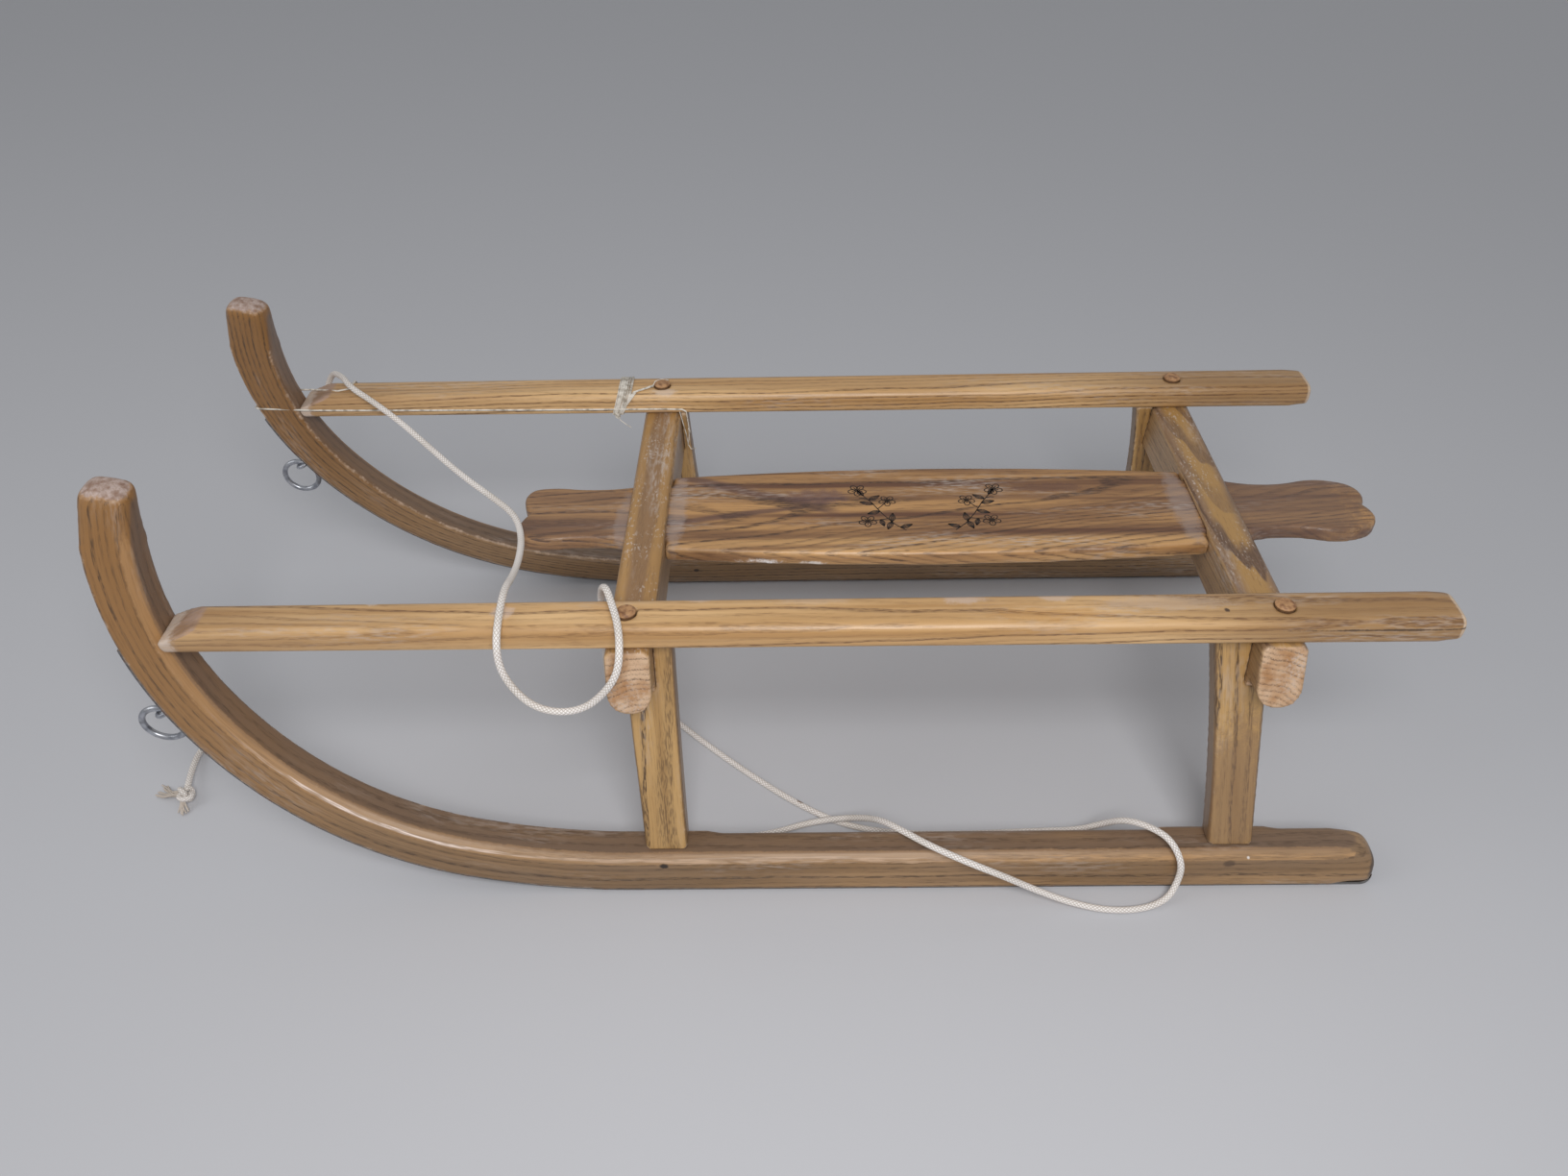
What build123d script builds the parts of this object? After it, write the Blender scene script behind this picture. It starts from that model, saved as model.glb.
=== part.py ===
"""A child's wooden horned sledge: bent runners, legs, crossbars, hand rails, a long seat board,
a tow ring on each runner, and the pull rope that lies over it.

Millimetres. X runs forward to the horns, Y to the rider's left, Z up. The origin is on the floor
under the middle of the sledge.
"""
import math
import os

from build123d import *

# Where the seat's middle, half way between the crossbars, lies behind the middle of the sledge
SEAT_X = -131.0

# Side frames: the runner and legs of each side lean in under the seat
LEAN = 9.9
FRAME_HALF_WIDTH = 217.7
# Longer than any piece: the size of the stock that pieces are sawn from
STOCK = 1500.0

# Runners, bent from one straight stave
RUNNER_DEPTH = 36.0
RUNNER_WIDTH = 31.0
RUNNER_REAR = 366.0
RUNNER_STRAIGHT_FRONT = 250.0
RUNNER_TOE = 4.0
RUNNER_HEEL = 20.0
RUNNER_WORN_EDGE = 5.5
RUNNER_EDGE = 2.0
# Long chamfers on the inner top edge, stopped short of the legs: from and to, from the seat's middle
INNER_CHAMFER = 6.0
INNER_CHAMFER_RUN_OUT = 20.0
INNER_CHAMFERS = ((-420.0, -268.0), (-198.0, 200.0))
HORN_STRAIGHT = 28.0
HORN_TIP_EDGE = 4.0
# The bend tightens towards the horn: the underside's radii, and the degrees turned on each
BEND_RADII = (610.0, 306.0, 256.0)
BEND_TURNS = (13.8, 47.8, 40.6)

# Steel sole strips under the runners; on the way up the last bend is cut short
SOLE_THICKNESS = 2.5
SOLE_WIDTH = 24.0
SOLE_END_TURN = 17.5

# Hand rails
RAIL_HALF_SPACING = 162.0
RAIL_THICKNESS = 20.8
RAIL_TOP = 268.0
RAIL_REAR_WIDTH = 39.0
RAIL_FRONT_WIDTH = 34.0
RAIL_REAR = 368.0
RAIL_TOP_FLAT = 4.6
RAIL_TOP_EDGE = 1.7
RAIL_UNDER_EDGE = 2.0
# Both rear ends are rounded most on the same, right-hand corner
RAIL_END_ROUND = 8.0
RAIL_END_EDGE = 3.0
RAIL_BEVEL_LENGTH = 30.0
RAIL_BEVEL_DROP = 12.0

# Crossbars, pegged under the rails
CROSSBAR_SPACING = 480.0
CROSSBAR_WIDTH = 34.0
CROSSBAR_DEPTH = 48.0
CROSSBAR_HALF_LENGTH = 200.0
CROSSBAR_END_LENGTH = 24.0
CROSSBAR_END_ROUND = 16.0
CROSSBAR_END_SLANT = 17.0
CROSSBAR_CHAMFER = 4.0

# Legs, let into the corner between crossbar and rail
LEG_HALF_WIDTH = 208.7
LEG_THICKNESS = 20.0
LEG_EDGE = 2.5

# Seat board, threaded through a slot in each crossbar
BOARD_THICKNESS = 14.0
BOARD_BELOW_BAR_TOP = 7.0
BOARD_HALF_WIDTH = 61.0
SHOULDER_HALF_WIDTH = 51.0
NECK_HALF_WIDTH = 37.5
BOARD_EDGE = 2.5
SLOT_PLAY = 0.3

# Dowels through the rails into the crossbars
DOWEL_RADIUS = 7.5
DOWEL_PROUD = 3.0
DOWEL_DOME = 2.2
DOWEL_SIDES = 16
DOWEL_IN_BAR = 24.0
DOWEL_PLAY = 0.1

# Tow rings on eye screws, just past the start of the last bend. Wire and rings are drawn with few
# sides to keep the mesh light
WIRE_SIDES = 8
RING_SIDES = 24
EYE_TURN = 3.1
EYE_WIRE = 3.6
EYE_OUTER = 17.0
EYE_STAND_OFF = 3.0
EYE_SHANK_IN_WOOD = 22.0
RING_WIRE = 5.0
RING_OUTER = 38.0
RING_PLAY = 0.4

# Pull rope and its knots; the rope too is drawn with few sides
ROPE_DIAMETER = 5.5
ROPE_SIDES = 8
ROPE_ARC_SHARE = 0.45
STOPPER_RADIUS = 8.8
STOPPER_LENGTH = 18.0
HITCH_RADIUS = 7.5
HITCH_LENGTH = 15.0
KNOT_EDGE = 4.0
KNOT_SIDES = 8
KNOT_BITE = 3.0
KNOT_PLAY = 0.1

lean_run = math.tan(math.radians(LEAN))
runner_top = SOLE_THICKNESS + RUNNER_DEPTH
rail_under = RAIL_TOP - RAIL_THICKNESS
bar_under = rail_under - CROSSBAR_DEPTH
board_top = rail_under - BOARD_BELOW_BAR_TOP
board_under = board_top - BOARD_THICKNESS
half_bar = CROSSBAR_WIDTH / 2
bar_inside = CROSSBAR_SPACING / 2 - half_bar


def bent_edges(depth, last_turn):
    """The runner's side outline at a depth above its underside: the straight, then the bend."""
    height = SOLE_THICKNESS + depth
    edges = [Line((SEAT_X - RUNNER_REAR, height), (SEAT_X + RUNNER_STRAIGHT_FRONT, height))]
    for radius, turn in zip(BEND_RADII, BEND_TURNS[:-1] + (last_turn,)):
        edges.append(JernArc(edges[-1] @ 1, edges[-1] % 1, radius - depth, turn))
    return edges


def side_outline(low, high):
    """The closed outline between two rows of edges, set up on the sledge's middle plane."""
    ends = [Line(low[0] @ 0, high[0] @ 0), Line(low[-1] @ 1, high[-1] @ 1)]
    return Plane.XZ * make_face(Wire(low + high + ends))


def saw_out(outline, half_width, thickness):
    """Saws a side outline out of a leaning plank whose outer face would meet the floor there."""
    level = thickness * math.cos(math.radians(LEAN))
    plank = Pos(0, -level / 2, 0) * Box(2 * STOCK, level, STOCK)
    plank = Pos(0, half_width, 0) * Rot(LEAN, 0, 0) * plank
    return extrude(outline, STOCK, both=True) & plank


def side_face(solid, outward):
    """The outer or the inner leaning face of a piece of the left side frame."""
    faces = solid.faces().filter_by(lambda f: f.is_planar and abs(f.normal_at().Y) > 0.9)
    return faces.sort_by(Axis.Y)[-1 if outward else 0]


def drill(radius, depth):
    """A drill to cut a hole downward from the plane's origin, with play for what it takes."""
    return Pos(0, 0, -depth / 2) * Cylinder(radius + DOWEL_PLAY, depth)


def wire_ring(radius, wire):
    """A ring of bent wire round the Y axis, by its mean radius and the wire's diameter."""
    path = Plane.XZ * RegularPolygon(radius, RING_SIDES, rotation=180 / RING_SIDES).wire()
    section = Plane(origin=path @ 0, z_dir=path % 0) * RegularPolygon(wire / 2, WIRE_SIDES)
    return sweep(section, path=path, transition=Transition.RIGHT)


def mirrored(solid):
    """The right-hand twin of a left-hand piece."""
    return mirror(solid, Plane.XZ)


# Tow ring and its eye screw, on the outside of the bend
under_edges = bent_edges(0, BEND_TURNS[-1])
upper_edges = bent_edges(RUNNER_DEPTH, BEND_TURNS[-1])
eye_foot = under_edges[-1] @ (EYE_TURN / BEND_TURNS[-1])
eye_run = under_edges[-1] % (EYE_TURN / BEND_TURNS[-1])
eye_y = FRAME_HALF_WIDTH - RUNNER_WIDTH / 2 - eye_foot.Y * lean_run
eye_plane = Plane(
    origin=(eye_foot.X, eye_y, eye_foot.Y),
    x_dir=(0, 1, 0),
    z_dir=(eye_run.Y, 0, -eye_run.X),
)
eye_radius = (EYE_OUTER - EYE_WIRE) / 2
eye_reach = EYE_STAND_OFF + EYE_OUTER / 2
shank_out = eye_reach - eye_radius
eye_shank = extrude(RegularPolygon(EYE_WIRE / 2, WIRE_SIDES), shank_out + EYE_SHANK_IN_WOOD)
eye_shank = Pos(0, 0, -EYE_SHANK_IN_WOOD) * eye_shank
eye_loop = Pos(0, 0, eye_reach) * wire_ring(eye_radius, EYE_WIRE)
eye_left = eye_plane * (eye_loop + eye_shank)
eye_hole = eye_plane * Pos(0, 0, SOLE_THICKNESS + 1) * drill(
    EYE_WIRE / 2, EYE_SHANK_IN_WOOD + SOLE_THICKNESS + 1 + DOWEL_PLAY
)
pivot = eye_plane.from_local_coords(Vector(0, 0, eye_reach + eye_radius))
ring_radius = (RING_OUTER - RING_WIRE) / 2
ring_drop = ring_radius - (EYE_WIRE + RING_WIRE) / 2 - RING_PLAY
ring_left = Pos(pivot.X, pivot.Y, pivot.Z - ring_drop) * wire_ring(ring_radius, RING_WIRE)
print("ring pivot", round(pivot.X, 3), round(pivot.Y, 3), round(pivot.Z, 3))

# Runners: one bent stave each, heel rounded, long top edge worn away on the outside
horn_run = under_edges[-1] % 1
horn_under = Line(under_edges[-1] @ 1, under_edges[-1] @ 1 + horn_run * HORN_STRAIGHT)
horn_upper = Line(upper_edges[-1] @ 1, upper_edges[-1] @ 1 + horn_run * HORN_STRAIGHT)
stave = side_outline(under_edges + [horn_under], upper_edges + [horn_upper])
worn_stave = fillet(stave.vertices().sort_by(Axis.X)[:2].sort_by(Axis.Z)[-1], RUNNER_HEEL)
worn_stave = fillet(worn_stave.vertices().sort_by(Axis.Z)[:2].sort_by(Axis.X)[0], RUNNER_TOE)
worn_stave = chamfer(worn_stave.vertices().sort_by(Axis.Z)[-2:], HORN_TIP_EDGE)
runner_left = saw_out(stave, FRAME_HALF_WIDTH, RUNNER_WIDTH)
underside = Plane.XZ * Wire(under_edges + [horn_under])


def on_top(edge):
    """Whether an edge of the runner lies on its upper, inner-bend side."""
    middle = edge.center()
    return underside.distance_to(Vertex(middle.X, 0, middle.Z)) > RUNNER_DEPTH * 0.8


worn_edges = [e for e in side_face(runner_left, True).edges() if on_top(e)]
runner_left = chamfer(worn_edges, RUNNER_WORN_EDGE)
plain_edges = side_face(runner_left, False).edges()
plain_edges += [e for e in side_face(runner_left, True).edges() if not on_top(e)]
runner_left = chamfer([e for e in plain_edges if e.length > RUNNER_DEPTH + 1], RUNNER_EDGE)
runner_left = runner_left & extrude(worn_stave, STOCK, both=True)


def chamfer_section(x, size):
    """The corner that an inner chamfer of this size takes away at x."""
    level_width = RUNNER_WIDTH / math.cos(math.radians(LEAN))
    y = FRAME_HALF_WIDTH - level_width - runner_top * lean_run
    across = Plane(origin=(SEAT_X + x, y, runner_top), x_dir=(0, 1, 0), z_dir=(1, 0, 0))
    corner = Polyline((2 * size, size), (-size, -2 * size), (-size, size), close=True)
    return across * make_face(corner)


for start, stop in INNER_CHAMFERS:
    runner_left -= loft(
        [
            chamfer_section(start, RUNNER_EDGE / 2),
            chamfer_section(start + INNER_CHAMFER_RUN_OUT, INNER_CHAMFER),
            chamfer_section(stop - INNER_CHAMFER_RUN_OUT, INNER_CHAMFER),
            chamfer_section(stop, RUNNER_EDGE / 2),
        ],
        ruled=True,
    )
runner_left = runner_left - eye_hole

# Steel soles
sole_low = bent_edges(-SOLE_THICKNESS, SOLE_END_TURN)
sole_high = bent_edges(0, SOLE_END_TURN)
sole_inset = (RUNNER_WIDTH - SOLE_WIDTH) / 2
sole_left = saw_out(side_outline(sole_low, sole_high), FRAME_HALF_WIDTH - sole_inset, SOLE_WIDTH)
sole_left = sole_left - eye_hole

# Crossbars: chamfered on top, their ends rounded below, slotted for the board, drilled for dowels
bar_body = Rectangle(CROSSBAR_WIDTH, CROSSBAR_DEPTH)
bar_body = chamfer(bar_body.vertices().group_by(Axis.Y)[-1], CROSSBAR_CHAMFER)
bar_end = fillet(bar_body.vertices().group_by(Axis.Y)[0], CROSSBAR_END_ROUND)
body_half = CROSSBAR_HALF_LENGTH - CROSSBAR_END_LENGTH
bar_profile = make_face(
    Polyline(
        (-CROSSBAR_HALF_LENGTH, bar_under),
        (CROSSBAR_HALF_LENGTH, bar_under),
        (CROSSBAR_HALF_LENGTH - CROSSBAR_END_SLANT, rail_under),
        (CROSSBAR_END_SLANT - CROSSBAR_HALF_LENGTH, rail_under),
        close=True,
    )
)
slot_half = NECK_HALF_WIDTH + SLOT_PLAY
slot_height = BOARD_THICKNESS + 2 * SLOT_PLAY


def crossbar(x):
    """A crossbar whose middle lies at x."""
    bar = extrude(Plane.XZ * bar_end, CROSSBAR_HALF_LENGTH, both=True)
    bar += extrude(Plane.XZ * bar_body, body_half, both=True)
    bar = Pos(x, 0, rail_under - CROSSBAR_DEPTH / 2) * bar
    slot = Box(CROSSBAR_WIDTH * 2, 2 * slot_half, slot_height)
    bar = bar - Pos(x, 0, board_top - BOARD_THICKNESS / 2) * slot
    for side in (-1, 1):
        hole = Pos(x, side * RAIL_HALF_SPACING, rail_under) * drill(DOWEL_RADIUS, DOWEL_IN_BAR)
        bar = bar - hole
    return bar & extrude(Plane.YZ * bar_profile, STOCK, both=True)


# Dowels, their tops pared round in flats
def dowel(x, y):
    """A dowel through the rail at x and y."""
    foot = rail_under - DOWEL_IN_BAR + DOWEL_PLAY
    crown = RAIL_TOP + DOWEL_PROUD
    shaft = extrude(RegularPolygon(DOWEL_RADIUS, DOWEL_SIDES), crown - foot)
    shaft = chamfer(shaft.faces().sort_by(Axis.Z)[-1].edges(), DOWEL_DOME * 0.7, DOWEL_DOME)
    return Pos(x, y, foot) * shaft


# Hand rails: rounded on top, narrowing forward, butted on the horn and bevelled down to it
def rail_section(x, width):
    """The rail's cross-section at x."""
    plane = Plane(
        origin=(x, RAIL_HALF_SPACING, RAIL_TOP - RAIL_THICKNESS / 2),
        x_dir=(0, 1, 0),
        z_dir=(1, 0, 0),
    )
    section = Rectangle(width, RAIL_THICKNESS)
    section = chamfer(section.vertices().group_by(Axis.Y)[-1], RAIL_TOP_FLAT)
    section = chamfer(section.vertices().group_by(Axis.Y)[-2:], RAIL_TOP_EDGE)
    section = chamfer(section.vertices().group_by(Axis.Y)[0], RAIL_UNDER_EDGE)
    return plane * section


rail_rear = SEAT_X - RAIL_REAR
rail_front = (upper_edges[-1] @ 1).X + RUNNER_DEPTH / 2
rail_left = loft(
    [rail_section(rail_rear, RAIL_REAR_WIDTH), rail_section(rail_front, RAIL_FRONT_WIDTH)],
    ruled=True,
)
rail_left = rail_left - extrude(stave, STOCK, both=True)
butt = rail_left.vertices().sort_by(Axis.X)[-1].X
bevel = Plane.XZ * make_face(
    Polyline(
        (butt - RAIL_BEVEL_LENGTH, RAIL_TOP),
        (butt + RAIL_BEVEL_LENGTH, RAIL_TOP - 2 * RAIL_BEVEL_DROP),
        (butt + RAIL_BEVEL_LENGTH, RAIL_TOP + 1),
        (butt - RAIL_BEVEL_LENGTH, RAIL_TOP + 1),
        close=True,
    )
)
rail_left = rail_left - extrude(bevel, STOCK, both=True)


def finished_rail(rail, side):
    """A rail with the corners of its rear end rounded, and drilled for its dowels."""
    length = rail_front - rail_rear
    plan = Pos(rail_rear + length / 2, 0) * Rectangle(length, RAIL_REAR_WIDTH)
    rear = plan.vertices().group_by(Axis.X)[0].sort_by(Axis.Y)
    plan = fillet(rear[0], RAIL_END_ROUND)
    rear = plan.vertices().sort_by(Axis.X)[:2].sort_by(Axis.Y)
    plan = Pos(0, side * RAIL_HALF_SPACING, RAIL_TOP) * fillet(rear[-1], RAIL_END_EDGE)
    rail = rail & extrude(plan, 2 * RAIL_THICKNESS, both=True)
    for x in (-CROSSBAR_SPACING / 2, CROSSBAR_SPACING / 2):
        top = Pos(SEAT_X + x, side * RAIL_HALF_SPACING, RAIL_TOP + 1)
        rail = rail - top * drill(DOWEL_RADIUS, RAIL_THICKNESS + 2)
    return rail


rail_right = finished_rail(mirrored(rail_left), -1)
rail_left = finished_rail(rail_left, 1)


# Legs: a shoulder under the crossbar and a tongue beside it, up to the rail. All x are distances
# from the seat's middle, so a rear leg is the same outline turned about
LEGS = (
    # end, side, foot_in, foot_out, waist_in, rail_in, shoulder_out
    ("front", "left", 208.0, 243.0, 208.5, 208.0, 246.0),
    ("front", "right", 208.0, 243.0, 213.5, 217.0, 246.0),
    ("rear", "left", 224.0, 261.0, 211.0, 193.0, 241.0),
    ("rear", "right", 224.0, 261.0, 221.5, 207.0, 243.0),
)


def leg(end, foot_in, foot_out, waist_in, rail_in, shoulder_out):
    """A left-hand leg, its inner edge sawn to a slight curve."""
    facing = 1 if end == "front" else -1
    points = (
        (rail_in, rail_under),
        (bar_inside, rail_under),
        (bar_inside, bar_under),
        (shoulder_out, bar_under),
        (foot_out, runner_top),
        (foot_in, runner_top),
    )
    points = [(SEAT_X + facing * x, z) for x, z in points]
    waist = (SEAT_X + facing * waist_in, (runner_top + rail_under) / 2)
    inner = ThreePointArc(points[-1], waist, points[0])
    outline = make_face(Wire([inner] + Polyline(*points).edges()))
    piece = saw_out(Plane.XZ * outline, LEG_HALF_WIDTH, LEG_THICKNESS)
    rising = [e for e in side_face(piece, True).edges() if abs(e.tangent_at(0.5).Z) > 0.7]
    free = [e for e in rising if abs(facing * (e.center().X - SEAT_X) - bar_inside) > 0.1]
    return chamfer(free, LEG_EDGE)


# Seat board, sawn to a long waisted outline with a notch in each end. The rows run round its left
# side from the front notch: an arc through the first point to the second, or a straight line
BOARD_OUTLINE = (
    # via_x, via_y, end_x, end_y
    (348.0, 10.0, 350.0, 20.0),
    (348.5, 29.0, 342.0, 35.5),
    (327.0, NECK_HALF_WIDTH, 312.0, 36.3),
    (287.0, 34.5, 257.5, NECK_HALF_WIDTH),
    (None, None, bar_inside, NECK_HALF_WIDTH),
    (None, None, bar_inside, SHOULDER_HALF_WIDTH),
    (0.0, BOARD_HALF_WIDTH, -bar_inside, SHOULDER_HALF_WIDTH),
    (None, None, -bar_inside, NECK_HALF_WIDTH),
    (None, None, -257.5, NECK_HALF_WIDTH),
    (-290.0, 31.0, -318.0, 34.3),
    (-341.0, 36.8, -360.0, 31.5),
    (-369.0, 23.0, -371.0, 12.0),
    (-369.5, 6.0, -366.0, 0.0),
)
board_edges = []
front_notch = (343.0, 0.0)
corner = front_notch
for via_x, via_y, end_x, end_y in BOARD_OUTLINE:
    if via_x is None:
        board_edges.append(Line(corner, (end_x, end_y)))
    else:
        board_edges.append(ThreePointArc(corner, (via_x, via_y), (end_x, end_y)))
    corner = (end_x, end_y)
half_plan = make_face(Wire(board_edges + [Line(corner, front_notch)]))
board_plan = half_plan + mirror(half_plan, Plane.XZ)
seat_board = extrude(board_plan, BOARD_THICKNESS - BOARD_EDGE)
seat_board += Pos(0, 0, BOARD_THICKNESS - BOARD_EDGE) * extrude(board_plan, BOARD_EDGE, taper=45)
seat_board = Pos(SEAT_X, 0, board_under) * seat_board

# Pull rope, a limp cotton cord of straight runs joined by tangent arcs. It leaves a hitch on the
# outside of the right rail, crosses ahead of the board, hangs in a loop over the left rail, drops
# inside it to the floor, loops out over the left runner and back, and ends forward of the bend
ROPE = (
    # x forward of the seat's middle, y, z
    (569.0, -187.3, 254.5), (562.0, -189.3, 278.0), (543.0, -168.0, 287.0),
    (529.0, -147.0, 280.0), (505.0, -133.0, 267.0), (478.0, -117.0, 256.0), (446.0, -87.0, 249.0),
    (411.0, -50.0, 245.0), (377.0, -17.0, 244.0), (352.0, 11.0, 246.0), (340.0, 44.0, 249.0),
    (335.0, 80.0, 254.0), (333.0, 114.0, 263.0), (331.5, 142.0, 276.0), (330.0, 169.0, 277.0),
    (330.0, 190.0, 269.0), (331.0, 195.0, 248.0), (325.0, 197.0, 228.0), (312.0, 200.0, 211.0),
    (293.0, 203.0, 206.0), (272.0, 205.0, 212.0), (255.0, 207.0, 230.0), (243.0, 207.0, 250.0),
    (240.5, 199.0, 268.0), (243.0, 182.0, 276.0), (250.0, 160.0, 275.5), (256.0, 143.0, 277.0),
    (263.0, 129.0, 264.0), (267.0, 119.0, 236.0), (272.0, 100.0, 190.0), (281.0, 74.0, 130.0),
    (288.0, 46.0, 72.0), (284.0, 22.0, 25.0), (266.0, 6.0, 4.0), (241.0, 15.0, 3.0),
    (206.0, 50.0, 3.2), (165.0, 87.0, 3.0), (118.0, 125.0, 3.0), (76.0, 150.0, 3.0),
    (30.0, 160.0, 3.0), (-35.0, 161.0, 3.2), (-92.0, 158.0, 3.0), (-129.0, 162.0, 9.0),
    (-147.0, 168.0, 26.0), (-160.0, 180.0, 46.0), (-177.0, 193.0, 52.0), (-190.0, 206.0, 52.0),
    (-198.5, 218.5, 38.0), (-199.0, 221.0, 19.0), (-190.0, 231.0, 5.0), (-168.0, 239.0, 3.0),
    (-138.0, 240.0, 3.2), (-108.0, 233.0, 5.0), (-78.0, 229.0, 18.0), (-50.0, 229.0, 37.0),
    (-22.0, 226.0, 50.5), (7.0, 211.0, 52.5), (29.0, 193.0, 50.0), (44.0, 176.0, 42.0),
    (57.0, 161.0, 27.0), (76.0, 149.0, 12.0), (106.0, 147.0, 3.4), (140.0, 159.0, 3.0),
    (190.0, 166.0, 3.2), (255.0, 169.0, 3.0), (320.0, 169.0, 3.2), (380.0, 164.0, 3.0),
    (438.0, 151.0, 3.2), (495.0, 131.0, 3.0), (545.0, 107.0, 3.2), (590.0, 79.0, 3.0),
    (625.0, 55.0, 3.2), (652.0, 41.0, 3.0), (676.0, 40.0, 3.2), (689.0, 60.0, 4.6),
    (676.0, 107.0, 9.4),
)

rope_points = [Vector(SEAT_X + x, y, z) for x, y, z in ROPE]
rope_radii = []
for before, here, after in zip(rope_points, rope_points[1:], rope_points[2:]):
    turn = math.radians((here - before).get_angle(after - here))
    shorter = min((here - before).length, (after - here).length)
    rope_radii.append(ROPE_ARC_SHARE * shorter / math.tan(turn / 2))
rope_line = FilletPolyline(*rope_points, radius=rope_radii)
rope_start = Plane(origin=rope_line @ 0, z_dir=rope_line % 0)
rope_end = Plane(origin=rope_line @ 1, z_dir=rope_line % 1)
rope = sweep(rope_start * RegularPolygon(ROPE_DIAMETER / 2, ROPE_SIDES), path=rope_line)
print("rope radii", [round(radius, 1) for radius in rope_radii])
print("rope length", round(rope_line.length, 1))
print("rope volume", round(rope.volume), round(rope_line.length * math.pi * ROPE_DIAMETER**2 / 4))

# Its knots: a stopper at the free end, a hitch at the other; the rope runs a little way into each

def knot(mouth, radius, length):
    """A plain knot on the rope's end, at a plane whose Z points out of the rope."""
    barrel = extrude(RegularPolygon(radius, KNOT_SIDES), length)
    rims = barrel.faces().sort_by(Axis.Z)
    barrel = chamfer(rims[0].edges() + rims[-1].edges(), KNOT_EDGE)
    hole = extrude(RegularPolygon(ROPE_DIAMETER / 2 + KNOT_PLAY, ROPE_SIDES), KNOT_BITE)
    return mouth * Pos(0, 0, -KNOT_BITE) * (barrel - hole)


rope_knot = knot(rope_end, STOPPER_RADIUS, STOPPER_LENGTH)
hitch_mouth = Plane(origin=rope_start.origin, z_dir=-rope_start.z_dir)
rope_hitch = knot(hitch_mouth, HITCH_RADIUS, HITCH_LENGTH)

# Every piece under its name
nodes = {
    "crossbar_front": crossbar(SEAT_X + CROSSBAR_SPACING / 2),
    "crossbar_rear": crossbar(SEAT_X - CROSSBAR_SPACING / 2),
    "seat_board": seat_board,
    "rope": rope,
    "rope_knot": rope_knot,
    "rope_hitch": rope_hitch,
    "rail_left": rail_left,
    "rail_right": rail_right,
}
for name, solid in (
    ("runner", runner_left),
    ("sole", sole_left),
    ("eye", eye_left),
    ("ring", ring_left),
):
    nodes[name + "_left"] = solid
    nodes[name + "_right"] = mirrored(solid)
for end, side, *profile in LEGS:
    piece = leg(end, *profile)
    nodes["leg_" + end + "_" + side] = piece if side == "left" else mirrored(piece)
for end, x in (("front", CROSSBAR_SPACING / 2), ("rear", -CROSSBAR_SPACING / 2)):
    nodes["dowel_" + end + "_left"] = dowel(SEAT_X + x, RAIL_HALF_SPACING)
    nodes["dowel_" + end + "_right"] = dowel(SEAT_X + x, -RAIL_HALF_SPACING)

os.makedirs("parts", exist_ok=True)
for name, solid in nodes.items():
    box = solid.bounding_box()
    print(name, len(solid.solids()), round(solid.volume), solid.is_valid, box.min, box.max)
    export_step(solid, "parts/" + name + ".step")
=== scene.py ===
"""The finish of a child's wooden horned sledge: worn varnished ash, zinc-plated tow rings, a cotton
pull rope and a twine mend. Metres. X runs forward to the horns, Y to the rider's left, Z up."""
import math

import bpy
import numpy as np
from mathutils import Matrix, Vector


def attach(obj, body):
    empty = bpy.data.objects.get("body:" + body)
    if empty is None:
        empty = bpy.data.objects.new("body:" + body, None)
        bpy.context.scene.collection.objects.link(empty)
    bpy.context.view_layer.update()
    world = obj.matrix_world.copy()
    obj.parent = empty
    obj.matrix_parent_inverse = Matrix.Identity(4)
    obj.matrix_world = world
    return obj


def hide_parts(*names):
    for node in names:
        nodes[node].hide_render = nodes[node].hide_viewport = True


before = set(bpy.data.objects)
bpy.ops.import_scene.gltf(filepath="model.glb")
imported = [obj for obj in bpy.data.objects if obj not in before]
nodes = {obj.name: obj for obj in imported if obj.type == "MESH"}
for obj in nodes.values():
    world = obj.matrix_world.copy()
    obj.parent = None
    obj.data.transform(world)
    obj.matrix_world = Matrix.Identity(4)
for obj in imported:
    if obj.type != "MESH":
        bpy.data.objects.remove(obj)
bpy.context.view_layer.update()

# Camera: held by someone who stands at the sledge's left side and looks down on the seat.
# It is a wide lens, turned a touch to one side.
CAMERA_PLACE = Vector((-0.0162, 0.7923, 0.8266))
CAMERA_TURN = math.radians(0.8363)
CAMERA_DIP = math.radians(40.4)
CAMERA_ROLL = math.radians(-1.1624)
SENSOR_WIDTH = 36
FOCAL_LENGTH_PIXELS = 1200
FRAME_WIDTH_PIXELS = 1632


def placed(name, data):
    """A new object in the scene."""
    made = bpy.data.objects.new(name, data)
    bpy.context.scene.collection.objects.link(made)
    return made


view_line = Vector((
    math.sin(CAMERA_TURN) * math.cos(CAMERA_DIP),
    -math.cos(CAMERA_TURN) * math.cos(CAMERA_DIP),
    -math.sin(CAMERA_DIP),
))
level_right = view_line.cross(Vector((0, 0, 1))).normalized()
level_up = level_right.cross(view_line)
frame_right = level_right * math.cos(CAMERA_ROLL) + level_up * math.sin(CAMERA_ROLL)
frame_up = level_up * math.cos(CAMERA_ROLL) - level_right * math.sin(CAMERA_ROLL)
camera_data = bpy.data.cameras.new("camera")
camera_data.sensor_width = SENSOR_WIDTH
camera_data.lens = SENSOR_WIDTH * FOCAL_LENGTH_PIXELS / FRAME_WIDTH_PIXELS
camera = placed("camera", camera_data)
camera.matrix_world = Matrix((
    (frame_right.x, frame_up.x, -view_line.x, CAMERA_PLACE.x),
    (frame_right.y, frame_up.y, -view_line.y, CAMERA_PLACE.y),
    (frame_right.z, frame_up.z, -view_line.z, CAMERA_PLACE.z),
    (0, 0, 0, 1),
))
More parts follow.
